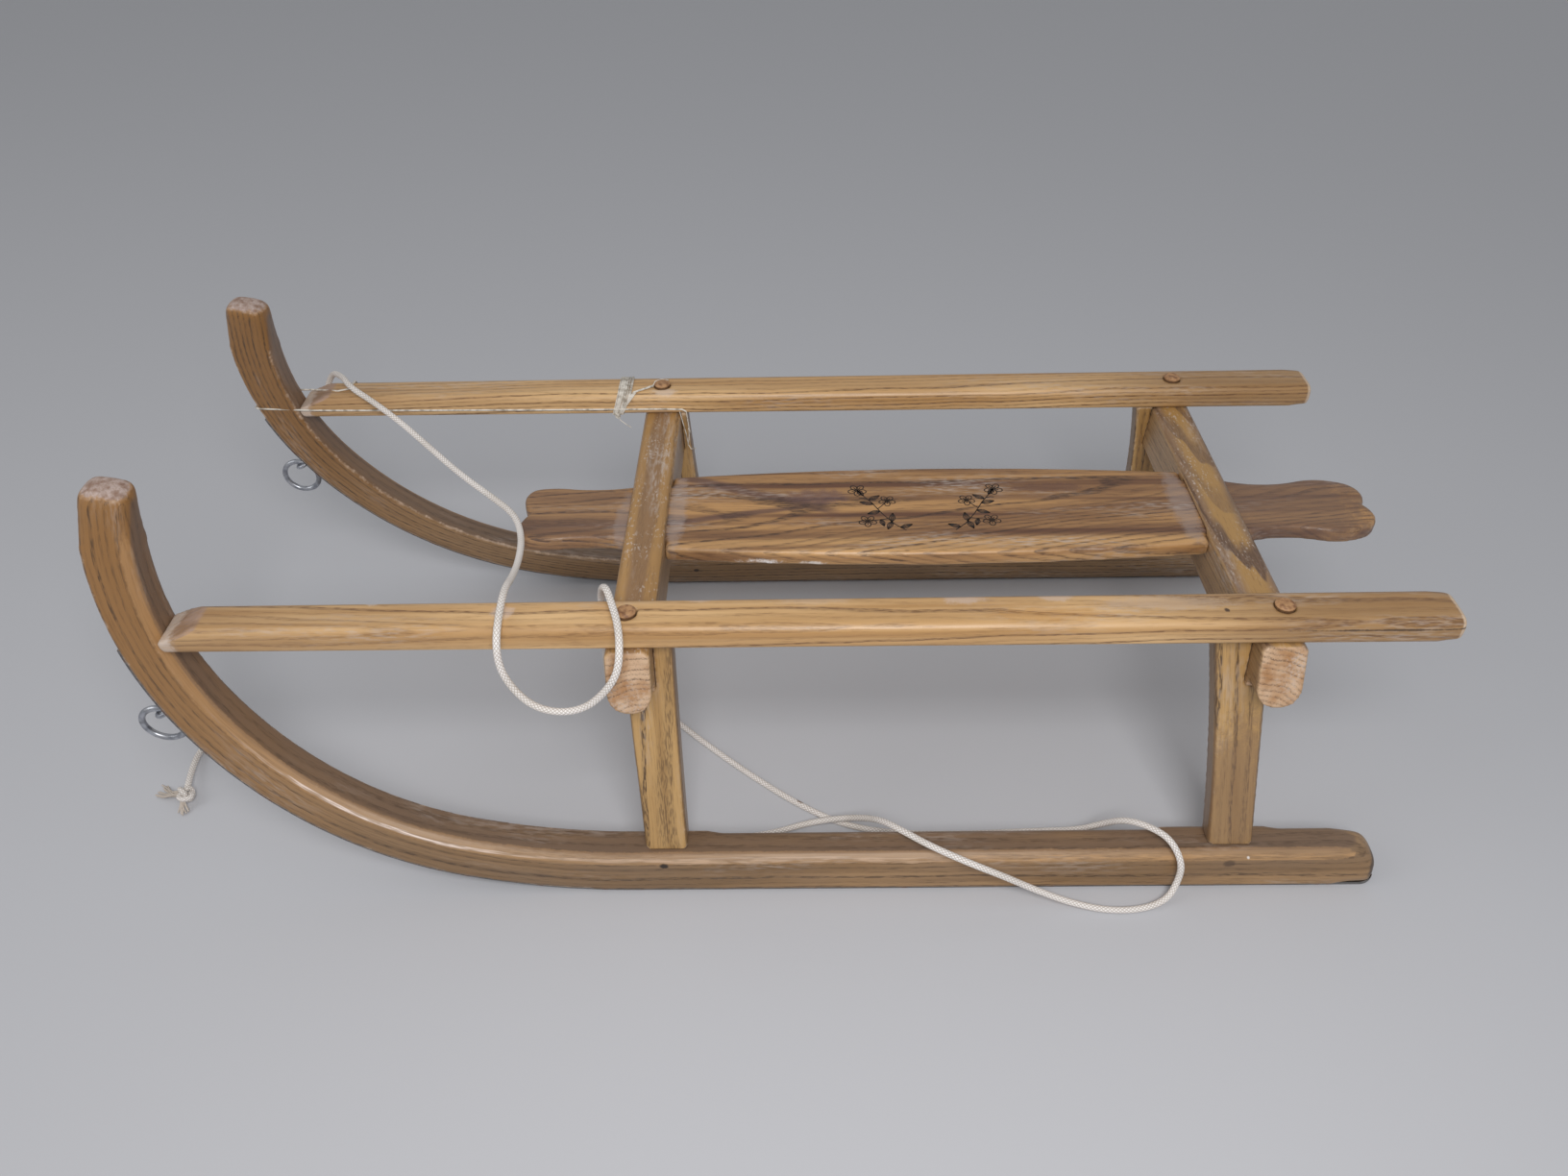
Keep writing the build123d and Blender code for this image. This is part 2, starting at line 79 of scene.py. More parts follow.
bpy.context.scene.camera = camera


# Runners: each one ash stave, steamed and bent up into a horn, its outer top edge long since worn
# to a pale bevel, with a painted highlight streak along it. The varnish is honey-brown, darker in the open
# pores and dusty on top.
class Reading:
    """A number or colour in a material. Sums and products of readings add Math nodes."""

    def __init__(self, tree, socket=None):
        self.tree = tree
        self.socket = socket

    def node(self, kind, settings=None, sockets=None, output=0):
        """Adds a node of any type, sets it up, feeds its sockets and gives one of its outputs."""
        made = self.tree.nodes.new(kind)
        for name, value in (settings or {}).items():
            setattr(made, name, value)
        for key, value in (sockets or {}).items():
            if isinstance(value, Reading):
                self.tree.links.new(value.socket, made.inputs[key])
            else:
                made.inputs[key].default_value = value
        return Reading(self.tree, made.outputs[output])

    def math(self, operation, *others):
        return self.node("ShaderNodeMath", {"operation": operation}, dict(enumerate((self, *others))))

    def __add__(self, other):
        return self.math("ADD", other)

    def __sub__(self, other):
        return self.math("SUBTRACT", other)

    def __rsub__(self, other):
        return self.node("ShaderNodeMath", {"operation": "SUBTRACT"}, {0: other, 1: self})

    def __mul__(self, other):
        return self.math("MULTIPLY", other)

    def __truediv__(self, other):
        return self.math("DIVIDE", other)

    def __pow__(self, other):
        return self.math("POWER", other)

    def __neg__(self):
        return self.math("MULTIPLY", -1)

    __radd__ = __add__
    __rmul__ = __mul__

    def rise(self, low, high):
        """A soft step from 0 at low to 1 at high."""
        limits = {"Value": self, "From Min": low, "From Max": high}
        return self.node("ShaderNodeMapRange", {"interpolation_type": "SMOOTHSTEP"}, limits)

    def vector(self, operation, other, output=0):
        return self.node("ShaderNodeVectorMath", {"operation": operation}, {0: self, 1: other}, output)

    def stretched(self, along, across, detail=2.0, output=0):
        """Noise on this place, so many waves to the metre along the grain and across it."""
        place = self.vector("MULTIPLY", (along, across, across))
        noise = {"Vector": place, "Scale": 1.0, "Detail": detail}
        return place.node("ShaderNodeTexNoise", None, noise, output)

    def part(self, number):
        return self.node("ShaderNodeSeparateXYZ", None, {0: self}, number)

    def over(self, under, colour):
        """Lays a colour over another as thickly as this mask says."""
        return self.node("ShaderNodeMix", {"data_type": "RGBA"}, {0: self, 6: under, 7: colour}, 2)


def stain(red, green, blue):
    """A colour as it looks, from 0 to 255, as the shader wants it."""
    steps = [value / 255 for value in (red, green, blue)]
    return [s / 12.92 if s < 0.04045 else ((s + 0.055) / 1.055) ** 2.4 for s in steps] + [1.0]


def new_finish(name):
    """An empty material, its surface shader, and a reading of where on the sledge a point lies."""
    finish = bpy.data.materials.new(name)
    finish.use_nodes = True
    surface = finish.node_tree.nodes["Principled BSDF"]
    return finish, surface, Reading(finish.node_tree).node("ShaderNodeTexCoord", output=3)


def feed(surface, socket, reading):
    surface.id_data.links.new(reading.socket, surface.inputs[socket])


def emboss(surface, height, distance, strength):
    """Bump on a surface, from a height that changes over it."""
    relief = {"Height": height, "Distance": distance, "Strength": strength}
    feed(surface, "Normal", height.node("ShaderNodeBump", None, relief))


def touch_up(colour, place, marks):
    """Adds patches of colour, some rubbed or stained, some painted highlights: where each is, how far it
    reaches, its colour, how thick.
    """
    for centre, reach, tone, strength in marks:
        away = place.vector("SUBTRACT", centre)
        away = away.vector("DIVIDE", reach).vector("LENGTH", (0, 0, 0), 1)
        ragged = place.stretched(130, 130) * 0.9 + place.stretched(600, 600) * 0.5 - 0.7
        mask = (1 - (away + ragged).rise(0.55, 1.1)) * strength
        colour = mask.over(colour, stain(*tone))
    return colour


def ash(name, light, deep, pore, worn, ring, heart, drift=0.012, slope=0.0, tilt=0.0, seed=0.0,
        rubbed=0.8, dusty=0.35, bold=0.85, broken=0.7, figure=(3.5, 24.0), paint=None, marks=(), pale=None):
    """Varnished ash. Growth rings run round a heart that lies beside the piece and wander along it;
    each ring starts with a band of open pores, which the old varnish has filled with dirt."""
    finish, surface, place = new_finish(name)
    grain = place.node("ShaderNodeAttribute", {"attribute_name": "grain"}, None, 1)
    wear = place.node("ShaderNodeAttribute", {"attribute_name": "wear"}, None, 2)
    facing = place.node("ShaderNodeTexCoord", output=1)
    log = grain.vector("ADD", (seed, seed * 0.37, seed * 0.71))
    wander = log.stretched(3.2, 13.0, 2.0, 1)
    ripple = log.stretched(24.0, 60.0, 1.0)
    along = grain.part(0)
    across = grain.part(1) + heart[0] + along * slope + (wander.part(0) - 0.5) * drift
    through = grain.part(2) + heart[1] + along * tilt + (wander.part(1) - 0.5) * drift
    radius = (across * across + through * through) ** 0.5 + ripple * 0.0016
    growth = radius / ring + log.stretched(2.0, 60.0, 1.0) * 1.2
    layer = growth.math("FRACT")
    number = {"W": growth.math("FLOOR")}
    year = growth.node("ShaderNodeTexWhiteNoise", {"noise_dimensions": "1D"}, number)
    early = layer.rise(0.0, 0.07) * (1 - layer.rise(0.24, 0.58)) * (year * 0.75 + 0.25)
    pores = log.stretched(115.0, 950.0, 1.0).rise(0.45, 0.6)
    fibre = log.stretched(30.0, 760.0, 3.0)
    patch = log.stretched(figure[0], figure[1], 2.0).rise(0.36, 0.64)
    streak = log.stretched(1.8, 130.0, 1.0).rise(0.48, 0.7)
    colour = (patch * 0.7 + streak * 0.4).over(stain(*light), stain(*deep))
    colour = (fibre.rise(0.45, 0.75) * 0.4).over(colour, stain(*deep))
    if paint:
        colour = paint(colour, grain, facing, log, early)
    line = early * (pores * broken + (1 - broken))
    colour = (line * bold).over(colour, stain(*pore))
    colour = (pores * fibre.rise(0.5, 0.7) * 0.3).over(colour, stain(*pore))
    film = log.stretched(7.0, 40.0, 2.0).rise(0.5, 0.72) * log.stretched(90.0, 500.0, 2.0).rise(0.4, 0.7)
    colour = (film * dusty).over(colour, stain(196, 182, 172))
    ragged = place.stretched(90, 90) * 0.7 + place.stretched(420, 420) * 0.5
    edge = (wear + ragged - 0.6).rise(0.4, 0.85) * rubbed
    bared = (early * 0.4).over(stain(*worn), stain(*deep))
    colour = edge.over(colour, bared)
    if pale:
        raw, tone = pale(grain, log, ragged)
        colour = raw.over(colour, (fibre.rise(0.4, 0.7) * 0.35).over(tone, stain(*deep)))
        edge = edge.math("MAXIMUM", raw)
    dirt = (-wear).rise(0.1, 0.55) * 0.75
    colour = dirt.over(colour, stain(58, 44, 34))
    colour = touch_up(colour, place, marks)
    feed(surface, "Base Color", colour)
    feed(surface, "Roughness", 0.36 + edge * 0.3 + film * 0.2 + fibre * 0.12)
    feed(surface, "Coat Weight", (1 - edge) * 0.22)
    surface.inputs["Coat Roughness"].default_value = 0.28
    emboss(surface, fibre * 0.35 - line * 0.9 + ragged * 0.5, 0.0005, 0.55)
    return finish


def take_up(piece):
    """Makes a piece the only one that the next operators act on."""
    bpy.ops.object.select_all(action="DESELECT")
    bpy.context.view_layer.objects.active = piece
    piece.select_set(True)


def eased_copy(node, cell, passes=6):
    """A piece that starts as a copy of its CAD node, with its arrises eased as use has eased them."""
    piece = placed(node + "_eased", nodes[node].data.copy())
    take_up(piece)
    piece.data.materials.clear()
    bpy.ops.object.mode_set(mode="EDIT")
    bpy.ops.mesh.select_all(action="SELECT")
    bpy.ops.mesh.remove_doubles(threshold=0.00002)
    bpy.ops.object.mode_set(mode="OBJECT")
    skin = piece.modifiers.new("skin", "REMESH")
    skin.mode = "VOXEL"
    skin.voxel_size = cell
    bpy.ops.object.modifier_apply(modifier="skin")
    easing = piece.modifiers.new("easing", "SMOOTH")
    easing.factor = 0.5
    easing.iterations = passes
    bpy.ops.object.modifier_apply(modifier="easing")
    bpy.ops.object.shade_smooth()
    return piece


def points_of(piece):
    """A piece's points as rows of x, y and z."""
    flat = np.zeros(len(piece.data.vertices) * 3)
    piece.data.vertices.foreach_get("co", flat)
    return flat.reshape(-1, 3)


ARRIS_HEIGHT = 0.0011
WEAR_REACH = 9


def note_wear(piece):
    """Writes how far each point stands out of its surroundings: 1 on a sharp arris, below 0 in a nook."""
    points = points_of(piece)
    edges = np.zeros(len(piece.data.edges) * 2, int)
    piece.data.edges.foreach_get("vertices", edges)
    one, other = edges.reshape(-1, 2).T
    count = np.bincount(one, minlength=len(points)) + np.bincount(other, minlength=len(points))
    level = points.copy()
    for _ in range(WEAR_REACH):
        total = np.zeros_like(level)
        for axis in range(3):
            total[:, axis] = np.bincount(one, level[other, axis], len(points))
            total[:, axis] += np.bincount(other, level[one, axis], len(points))
        level = (level + total / count[:, None]) / 2
    normals = np.zeros(len(points) * 3)
    piece.data.vertices.foreach_get("normal", normals)
    proud = ((points - level) * normals.reshape(-1, 3)).sum(1) / ARRIS_HEIGHT
    note = piece.data.attributes.new("wear", "FLOAT", "POINT")
    note.data.foreach_set("value", np.clip(proud, -1, 1.5).astype(np.float32))


def lay_grain(piece, along, across, through):
    """Writes where each point lies in the wood: along its fibres, across them, and through them."""
    note = piece.data.attributes.new("grain", "FLOAT_VECTOR", "POINT")
    rows = np.stack([along, across, through], 1).astype(np.float32)
    note.data.foreach_set("vector", rows.ravel())


def rasp(piece, share, passes):
    """Rounds the part of a piece where the share, one number for each point, is above 0."""
    group = piece.vertex_groups.new(name="rasped")
    for number in np.flatnonzero(share > 0):
        group.add([int(number)], min(1.0, float(share[number])), "REPLACE")
    rasping = piece.modifiers.new("rasping", "SMOOTH")
    rasping.factor = 0.5
    rasping.iterations = passes
    rasping.vertex_group = "rasped"
    bpy.ops.object.modifier_apply(modifier="rasping")
    piece.vertex_groups.clear()


LEAN = math.tan(math.radians(9.9))
FRAME_HALF_WIDTH = 0.2177
RUNNER_WIDTH = 0.031
RUNNER_DEPTH = 0.036
STAVE_START = (-0.497, 0.0205)
STAVE_STRAIGHT = 0.616
STAVE_BENDS = ((0.592, 13.8), (0.288, 47.8), (0.238, 40.6))
HORN_STRAIGHT = 0.03
STAVE_STEP = 0.003
HORN_RASPED_FROM = 1.15
HORN_EASING = 0.03
HEEL_WORN_TO = 0.035
HEEL_EASING = 0.015
ROWS_AT_ONCE = 4000

stave_line = [np.array(STAVE_START)]
stave_heading = [0.0]
stave_runs = [(None, STAVE_STRAIGHT)] + [(r, r * math.radians(t)) for r, t in STAVE_BENDS]
for radius, run in stave_runs + [(None, HORN_STRAIGHT)]:
    steps = max(2, round(run / STAVE_STEP))
    for _ in range(steps):
        turn = 0.0 if radius is None else run / steps / radius
        heading = stave_heading[-1] + turn / 2
        step = run / steps * np.array((math.cos(heading), math.sin(heading)))
        stave_line.append(stave_line[-1] + step)
        stave_heading.append(heading + turn / 2)
stave_line = np.array(stave_line)
stave_heading = np.array(stave_heading)
stave_length = np.concatenate([[0], np.cumsum(np.linalg.norm(np.diff(stave_line, axis=0), axis=1))])


def along_stave(points):
    """Where points lie in a bent stave: along its middle line, above it, and out from its middle."""
    flat = points[:, [0, 2]]
    nearest = np.zeros(len(flat), int)
    for first in range(0, len(flat), ROWS_AT_ONCE):
        rows = slice(first, first + ROWS_AT_ONCE)
        gaps = ((flat[rows, None, :] - stave_line[None]) ** 2).sum(2)
        nearest[rows] = gaps.argmin(1)
    ahead = np.stack([np.cos(stave_heading[nearest]), np.sin(stave_heading[nearest])], 1)
    away = flat - stave_line[nearest]
    along = stave_length[nearest] + (away * ahead).sum(1)
    above = away[:, 1] * ahead[:, 0] - away[:, 0] * ahead[:, 1]
    middle = FRAME_HALF_WIDTH - RUNNER_WIDTH / 2 - points[:, 2] * LEAN
    return along, above, np.abs(points[:, 1]) - middle


def worn_bevel_and_highlight(grain, log, ragged):
    """The worn outer top edge: a thin bright streak round the bend, pale worn wood with a painted
    highlight on it, broad and orange behind it, and the horn's bare end."""
    run = grain.part(0)
    bevel = (grain.part(1) + grain.part(2) + (ragged - 0.6) * 0.003).rise(0.0258, 0.027)
    low = grain.part(1) - grain.part(2)
    bend = run.rise(0.68, 0.8) * (1 - run.rise(0.88, 0.98))
    reach = 0.0012 + bend * 0.0006 + (1 - run.rise(0.56, 0.72)) * 0.002
    off_streak = low + 0.0004 + (log.stretched(16, 40, 2.0) - 0.5) * 0.006
    streak = 1 - (off_streak.math("ABSOLUTE") / reach).rise(0.6, 1.5)
    streak_wear_and_highlight = (1 - run.rise(0.92, 1.04)) * 0.5 + 0.08 + bend * 0.4
    streak = streak * streak_wear_and_highlight * (log.stretched(40, 500, 2.0).rise(0.4, 0.6) * 0.75 + 0.25)
    end = (run + (ragged - 0.6) * 0.008).rise(1.1895, 1.193)
    # Partly painted highlight: the streak's white, on pale worn wood, is strongest round the bend.
    worn_white_and_highlight = run.rise(0.28, 0.42) * streak.rise(0.1, 0.3) * (bend * 0.65 + 0.35)
    tone = worn_white_and_highlight.over(stain(206, 160, 110), stain(246, 226, 214))
    bare = log.stretched(150.0, 200.0, 3.0).rise(0.35, 0.7).over(stain(192, 172, 164), stain(146, 118, 104))
    tone = end.over(tone, bare)
    raw = (bevel * 0.3).math("MAXIMUM", streak * bevel.rise(0.0, 0.4))
    return raw.math("MAXIMUM", end * 0.95), tone


def runner_varnish(colour, grain, facing, log, early):
    """Golden on the horns, greyer low down, and brown where boots scuff the top."""
    run = grain.part(0)
    colour = (run.rise(0.8, 1.1) * 0.75).over(colour, stain(146, 101, 50))
    low = (1 - run.rise(0.7, 0.95)) * log.stretched(6.0, 30.0, 2.0).rise(0.3, 0.75)
    colour = (low * 0.5).over(colour, stain(130, 110, 92))
    scuffed = log.stretched(9.0, 60.0, 2.0).rise(0.2, 0.6) * 0.4 + 0.6
    return (grain.part(1).rise(0.0166, 0.0174) * scuffed * 0.8).over(colour, stain(116, 93, 76))


runner_marks = (
    ((0.0973, 0.2124, 0.0302), (0.0042, 0.006, 0.0028), (38, 28, 22), 0.95),
    ((-0.3714, 0.2128, 0.0282), (0.006, 0.006, 0.004), (74, 54, 40), 0.7),
    ((-0.3867, 0.2118, 0.0338), (0.0016, 0.004, 0.0016), (225, 218, 212), 0.9),
    ((0.0936, -0.1821, 0.0238), (0.004, 0.006, 0.0028), (40, 30, 24), 0.9),
    # A darker patch up the heel's end.
    ((-0.495, 0.21, 0.02), (0.006, 0.03, 0.03), (62, 50, 42), 0.8),
    ((0.446, 0.173, 0.262), (0.007, 0.006, 0.01), (204, 188, 178), 0.75),
    ((0.446, -0.173, 0.262), (0.006, 0.03, 0.009), (196, 180, 172), 0.6),
)
runner_finish = ash(
    "runner_ash", (168, 132, 92), (128, 97, 62), (68, 49, 33), (214, 186, 162), ring=0.0041,
    heart=(0.06, 0.035), seed=3.1, paint=runner_varnish, marks=runner_marks, pale=worn_bevel_and_highlight,
)
for side in ("left", "right"):
    runner = eased_copy("runner_" + side, 0.0019)
    # The horn's end was rasped to an oval, and the heel is worn round
    reached = along_stave(points_of(runner))[0]
    rasp(runner, (reached - HORN_RASPED_FROM) / HORN_EASING, 150)
    rasp(runner, (HEEL_WORN_TO - reached) / HEEL_EASING, 110)
    note_wear(runner)
    along, above, out = along_stave(points_of(runner))
    lay_grain(runner, along, above, out)
    runner.data.materials.append(runner_finish)
    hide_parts("runner_" + side)
    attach(runner, "sledge")

# Legs: sawn ash, a shoulder under the crossbar and a tongue beside it, let into the rail above and
# the runner below. Their faces are golden; their narrow sides are darkened nearly brown by painted shade.
LEG_HALF_WIDTH = 0.2087
LEG_THICKNESS = 0.02
RUNNER_TOP = 0.0385
REAR_LEG_FOOT = -0.3735
REAR_LEG_SLANT = 0.16


def leg_painted_side_shade(colour, grain, facing, log, early):
    """The narrow sawn sides, darkened nearly brown with painted shade."""
    side_shade = facing.part(0)
    return (side_shade.math("ABSOLUTE").rise(0.55, 0.8) * 0.7).over(colour, stain(112, 84, 58))


leg_finish = ash(
    "leg_ash", (196, 156, 100), (156, 117, 66), (72, 50, 30), (206, 180, 152), ring=0.0052,
    heart=(0.02, 0.06), slope=0.03, seed=11.7, dusty=0.3, bold=0.95, paint=leg_painted_side_shade,
    marks=[((-0.366, y, 0.085), (0.045, 0.05, 0.11), (126, 98, 76), 0.5) for y in (0.2, -0.2)],
)
for end in ("front", "rear"):
    for side in ("left", "right"):
        leg = eased_copy("leg_" + end + "_" + side, 0.0016, 4)
        note_wear(leg)
        points = points_of(leg)
        if end == "front":
            middle = (points[:, 0].min() + points[:, 0].max()) / 2
        else:
            middle = REAR_LEG_FOOT + REAR_LEG_SLANT * (points[:, 2] - RUNNER_TOP)
        out = np.abs(points[:, 1]) - (LEG_HALF_WIDTH - LEG_THICKNESS / 2 - points[:, 2] * LEAN)
        offset = {"front": 0.0, "rear": 0.9}[end] + {"left": 0.0, "right": 0.4}[side]
        lay_grain(leg, points[:, 2] + offset, points[:, 0] - middle, out)
        leg.data.materials.append(leg_finish)
        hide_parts("leg_" + end + "_" + side)
        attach(leg, "sledge")

# Crossbars: ash bars pegged under the rails, their ends rounded below and their top arrises planed
# off. Boots and mittens have rubbed the middle of their tops dull and scratched it.
CROSSBAR_HEIGHT = 0.223
REAR_BAR_ASKEW = -0.06


def crossbar_varnish(colour, grain, facing, log, early):
    """Mustard strips along the top's two sides, a scratched brown middle, and the sawn ends."""
    aside = grain.part(1)
    aside = aside.math("ABSOLUTE") + (log.stretched(16.0, 60.0, 2.0) - 0.5) * 0.006
    upper = facing.part(2).rise(0.35, 0.7)
    colour = (upper * (0.7 - grain.part(0).rise(0.6, 0.7) * 0.55)).over(colour, stain(176, 132, 74))
    middle = upper * (1 - aside.rise(0.005, 0.0095)) * (1 - grain.part(0).rise(0.6, 0.7) * 0.8)
    colour = (middle * 0.7).over(colour, stain(134, 102, 74))
    arches = grain.part(0).rise(0.6, 0.7) * upper
    colour = (arches * 0.75).over(colour, stain(132, 104, 82))
    colour = (arches * (1 - aside.rise(0.006, 0.014)) * (1 - early) * 0.75).over(colour, stain(180, 138, 76))
    colour = (arches * early * 0.65).over(colour, stain(96, 70, 58))
    scratch = log.stretched(260.0, 500.0, 3.0).rise(0.56, 0.66)
    scratch = scratch * log.stretched(22.0, 60.0, 2.0).rise(0.4, 0.65)
    colour = (scratch * upper * 0.7).over(colour, stain(204, 188, 176))
    end = facing.part(1)
    end = end.math("ABSOLUTE").rise(0.55, 0.85)
    sawn = log.stretched(40.0, 75.0, 3.0).rise(0.35, 0.7).over(stain(214, 180, 148), stain(176, 128, 84))
    return (end * 0.85).over(colour, sawn)


crossbar_finish = ash(
    "crossbar_ash", (172, 138, 98), (140, 108, 74), (86, 62, 42), (198, 164, 126), ring=0.0042,
    heart=(0.012, 0.055), seed=5.3, dusty=0.6, bold=0.7, paint=crossbar_varnish,
)
for end in ("front", "rear"):
    bar = eased_copy("crossbar_" + end, 0.0016, 4)
    note_wear(bar)
    points = points_of(bar)
    middle = (points[:, 0].min() + points[:, 0].max()) / 2
    offset = {"front": 0.0, "rear": 1.3}[end]
    # The rear bar was sawn askew to its grain, so its top shows long arches
    askew = {"front": 0.0, "rear": REAR_BAR_ASKEW}[end] * points[:, 1]
    hand = {"front": 1, "rear": -1}[end]
    through = points[:, 2] - CROSSBAR_HEIGHT + askew
    lay_grain(bar, points[:, 1] + offset, (points[:, 0] - middle) * hand, through)
    bar.data.materials.append(crossbar_finish)
    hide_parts("crossbar_" + end)
    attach(bar, "sledge")

# Hand rails: the brightest wood of the sledge, straight-grained ash planed round on top, with fine
# dark lines running the whole length and a raw, frayed tip where they butt on the horns.
RAIL_HALF_SPACING = 0.162
RAIL_HEIGHT = 0.2576
RAIL_WORN_FROM = -0.48
RAIL_EASING = 0.01
RAIL_BEVEL_START = 0.4224
RAIL_BEVEL_SLOPE = 0.4


def raw_tip(grain, log, ragged):
    """The bevel against the horn, with its torn end, and the sawn rear end."""
    run = grain.part(0)
    level = grain.part(2) + (run - RAIL_BEVEL_START) * RAIL_BEVEL_SLOPE
    bevel = level.rise(0.0086, 0.0098) * run.rise(RAIL_BEVEL_START - 0.003, RAIL_BEVEL_START + 0.001)
    torn = (run + (ragged - 0.6) * 0.016).rise(0.436, 0.444)
    sawn = (ragged * 0.003 - run).rise(0.4945, 0.4965)
    shade = log.stretched(30.0, 90.0, 2.0).rise(0.35, 0.65).over(stain(176, 148, 134), stain(142, 112, 92))
    tone = torn.over(shade, stain(206, 190, 178))
    raw = bevel.math("MAXIMUM", torn)
    return raw.math("MAXIMUM", sawn) * 0.85, sawn.over(tone, stain(214, 192, 168))


def rail_varnish(colour, grain, facing, log, early):
    """Browner behind the rear crossbar, towards the horn and along the inner arris, from hands."""
    run = grain.part(0) + (log.stretched(6.0, 30.0, 2.0) - 0.5) * 0.16
    colour = ((1 - run.rise(-0.42, -0.22)) * 0.75).over(colour, stain(140, 102, 60))
    colour = (run.rise(0.16, 0.4) * 0.35).over(colour, stain(148, 114, 82))
    grip = 1 - (grain.part(1) + (log.stretched(5.0, 60.0, 2.0) - 0.5) * 0.008).rise(-0.0165, -0.01)
    return (grip * 0.4).over(colour, stain(150, 116, 88))


rail_marks = (
    ((-0.328, 0.166, 0.268), (0.0024, 0.0026, 0.003), (60, 42, 34), 0.9),
    ((-0.445, 0.1795, 0.2605), (0.08, 0.004, 0.0012), (60, 42, 30), 0.8),
    ((0.3, 0.146, 0.266), (0.006, 0.006, 0.004), (222, 206, 196), 0.6),
    ((0.055, 0.147, 0.266), (0.012, 0.005, 0.004), (206, 186, 170), 0.5),
    ((-0.03, 0.15, 0.267), (0.03, 0.006, 0.004), (206, 182, 160), 0.3),
    ((-0.139, 0.15, 0.267), (0.018, 0.007, 0.004), (210, 190, 178), 0.5),
    ((-0.207, 0.149, 0.267), (0.016, 0.006, 0.004), (208, 188, 174), 0.5),
    ((-0.285, 0.157, 0.267), (0.055, 0.009, 0.004), (190, 166, 144), 0.5),
    ((-0.2, 0.168, 0.268), (0.05, 0.008, 0.006), (196, 140, 70), 0.35),
    ((0.2, 0.16, 0.268), (0.01, 0.008, 0.006), (220, 202, 192), 0.45),
    ((0.106, -0.15, 0.268), (0.012, 0.006, 0.006), (214, 196, 182), 0.5),
)
rail_finish = ash(
    "rail_ash", (226, 186, 134), (184, 140, 88), (112, 78, 48), (226, 200, 170), ring=0.0038,
    heart=(0.034, 0.05), drift=0.016, slope=0.02, tilt=0.004, seed=8.9, dusty=0.4, rubbed=0.3,
    bold=0.95, broken=0.5, paint=rail_varnish, marks=rail_marks, pale=raw_tip,
)
for side in ("left", "right"):
    rail = eased_copy("rail_" + side, 0.0016, 4)
    rasp(rail, (RAIL_WORN_FROM - points_of(rail)[:, 0]) / RAIL_EASING, 60)
    note_wear(rail)
    points = points_of(rail)
    offset = {"left": 0.0, "right": 0.013}[side]
    across = np.abs(points[:, 1]) - RAIL_HALF_SPACING + offset
    lay_grain(rail, points[:, 0], across, points[:, 2] - RAIL_HEIGHT)
    rail.data.materials.append(rail_finish)
    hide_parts("rail_" + side)
    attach(rail, "sledge")

# Seat board: one wide ash board, waisted between the crossbars and notched at both ends, threaded
# through a slot in each crossbar. Flat-sawn, with cathedral grain and grey-violet patches.
BOARD_HEIGHT = 0.233


def board_varnish(colour, grain, facing, log, early):
    """Violet-brown bands round the front arch of the grain, and golden wood at the left edge."""
    along = grain.part(0)
    across = grain.part(1) + (log.stretched(14.0, 60.0, 2.0) - 0.5) * 0.01
    upper = across + 0.01 + (along + 0.016) * 0.404
    lower = across + 0.009 - (along + 0.046) * 0.195
    band = 1 - (upper.math("ABSOLUTE") / 0.008).rise(0.3, 1.1)
    band = band.math("MAXIMUM", 1 - (lower.math("ABSOLUTE") / 0.0042).rise(0.3, 1.2))
    rear_end = (along + (log.stretched(30.0, 60.0, 1.0) - 0.5) * 0.02).rise(-0.055, -0.035)
    band = band * rear_end * (1 - along.rise(0.09, 0.1))
    gold = across.rise(0.03, 0.048) * log.stretched(3.0, 110.0, 1.0).rise(0.3, 0.6)
    colour = (gold * 0.6).over(colour, stain(214, 168, 112))
    return (band * 0.75).over(colour, stain(90, 62, 58))


board_finish = ash(
    "board_ash", (192, 145, 92), (102, 66, 44), (54, 34, 28), (202, 164, 118), ring=0.0037,
    heart=(0.004, 0.05), drift=0.022, slope=-0.12, tilt=-0.045, seed=15.1, rubbed=0.45, dusty=0.6,
    bold=0.95, figure=(2.6, 44.0), broken=0.6, paint=board_varnish,
    marks=(
        # Painted highlights: two white glints on the worn rounding of the near edge.
        ((0.022, 0.0605, 0.2292), (0.034, 0.005, 0.0042), (250, 248, 248), 0.95),
        ((-0.03, 0.061, 0.2285), (0.012, 0.005, 0.003), (240, 232, 224), 0.8),
        ((-0.06, 0.061, 0.24), (0.05, 0.003, 0.004), (206, 168, 126), 0.7),
        ((-0.43, 0.0, 0.24), (0.08, 0.09, 0.03), (104, 79, 68), 0.6),
        ((0.2, 0.0, 0.24), (0.1, 0.09, 0.03), (112, 86, 72), 0.45),
        ((-0.036, -0.018, 0.24), (0.03, 0.012, 0.02), (104, 76, 74), 0.6),
        ((-0.235, -0.028, 0.24), (0.035, 0.007, 0.02), (92, 60, 52), 0.5),
        ((0.085, 0.0, 0.24), (0.009, 0.06, 0.02), (172, 156, 150), 0.42),
        ((-0.345, 0.0, 0.24), (0.012, 0.06, 0.02), (160, 142, 134), 0.5),
        ((0.13, 0.02, 0.24), (0.008, 0.05, 0.02), (160, 142, 134), 0.45),
    ),
)
board = eased_copy("seat_board", 0.0019, 3)
note_wear(board)
points = points_of(board)
lay_grain(board, points[:, 0], points[:, 1], points[:, 2] - BOARD_HEIGHT)
board.data.materials.append(board_finish)
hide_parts("seat_board")
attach(board, "sledge")

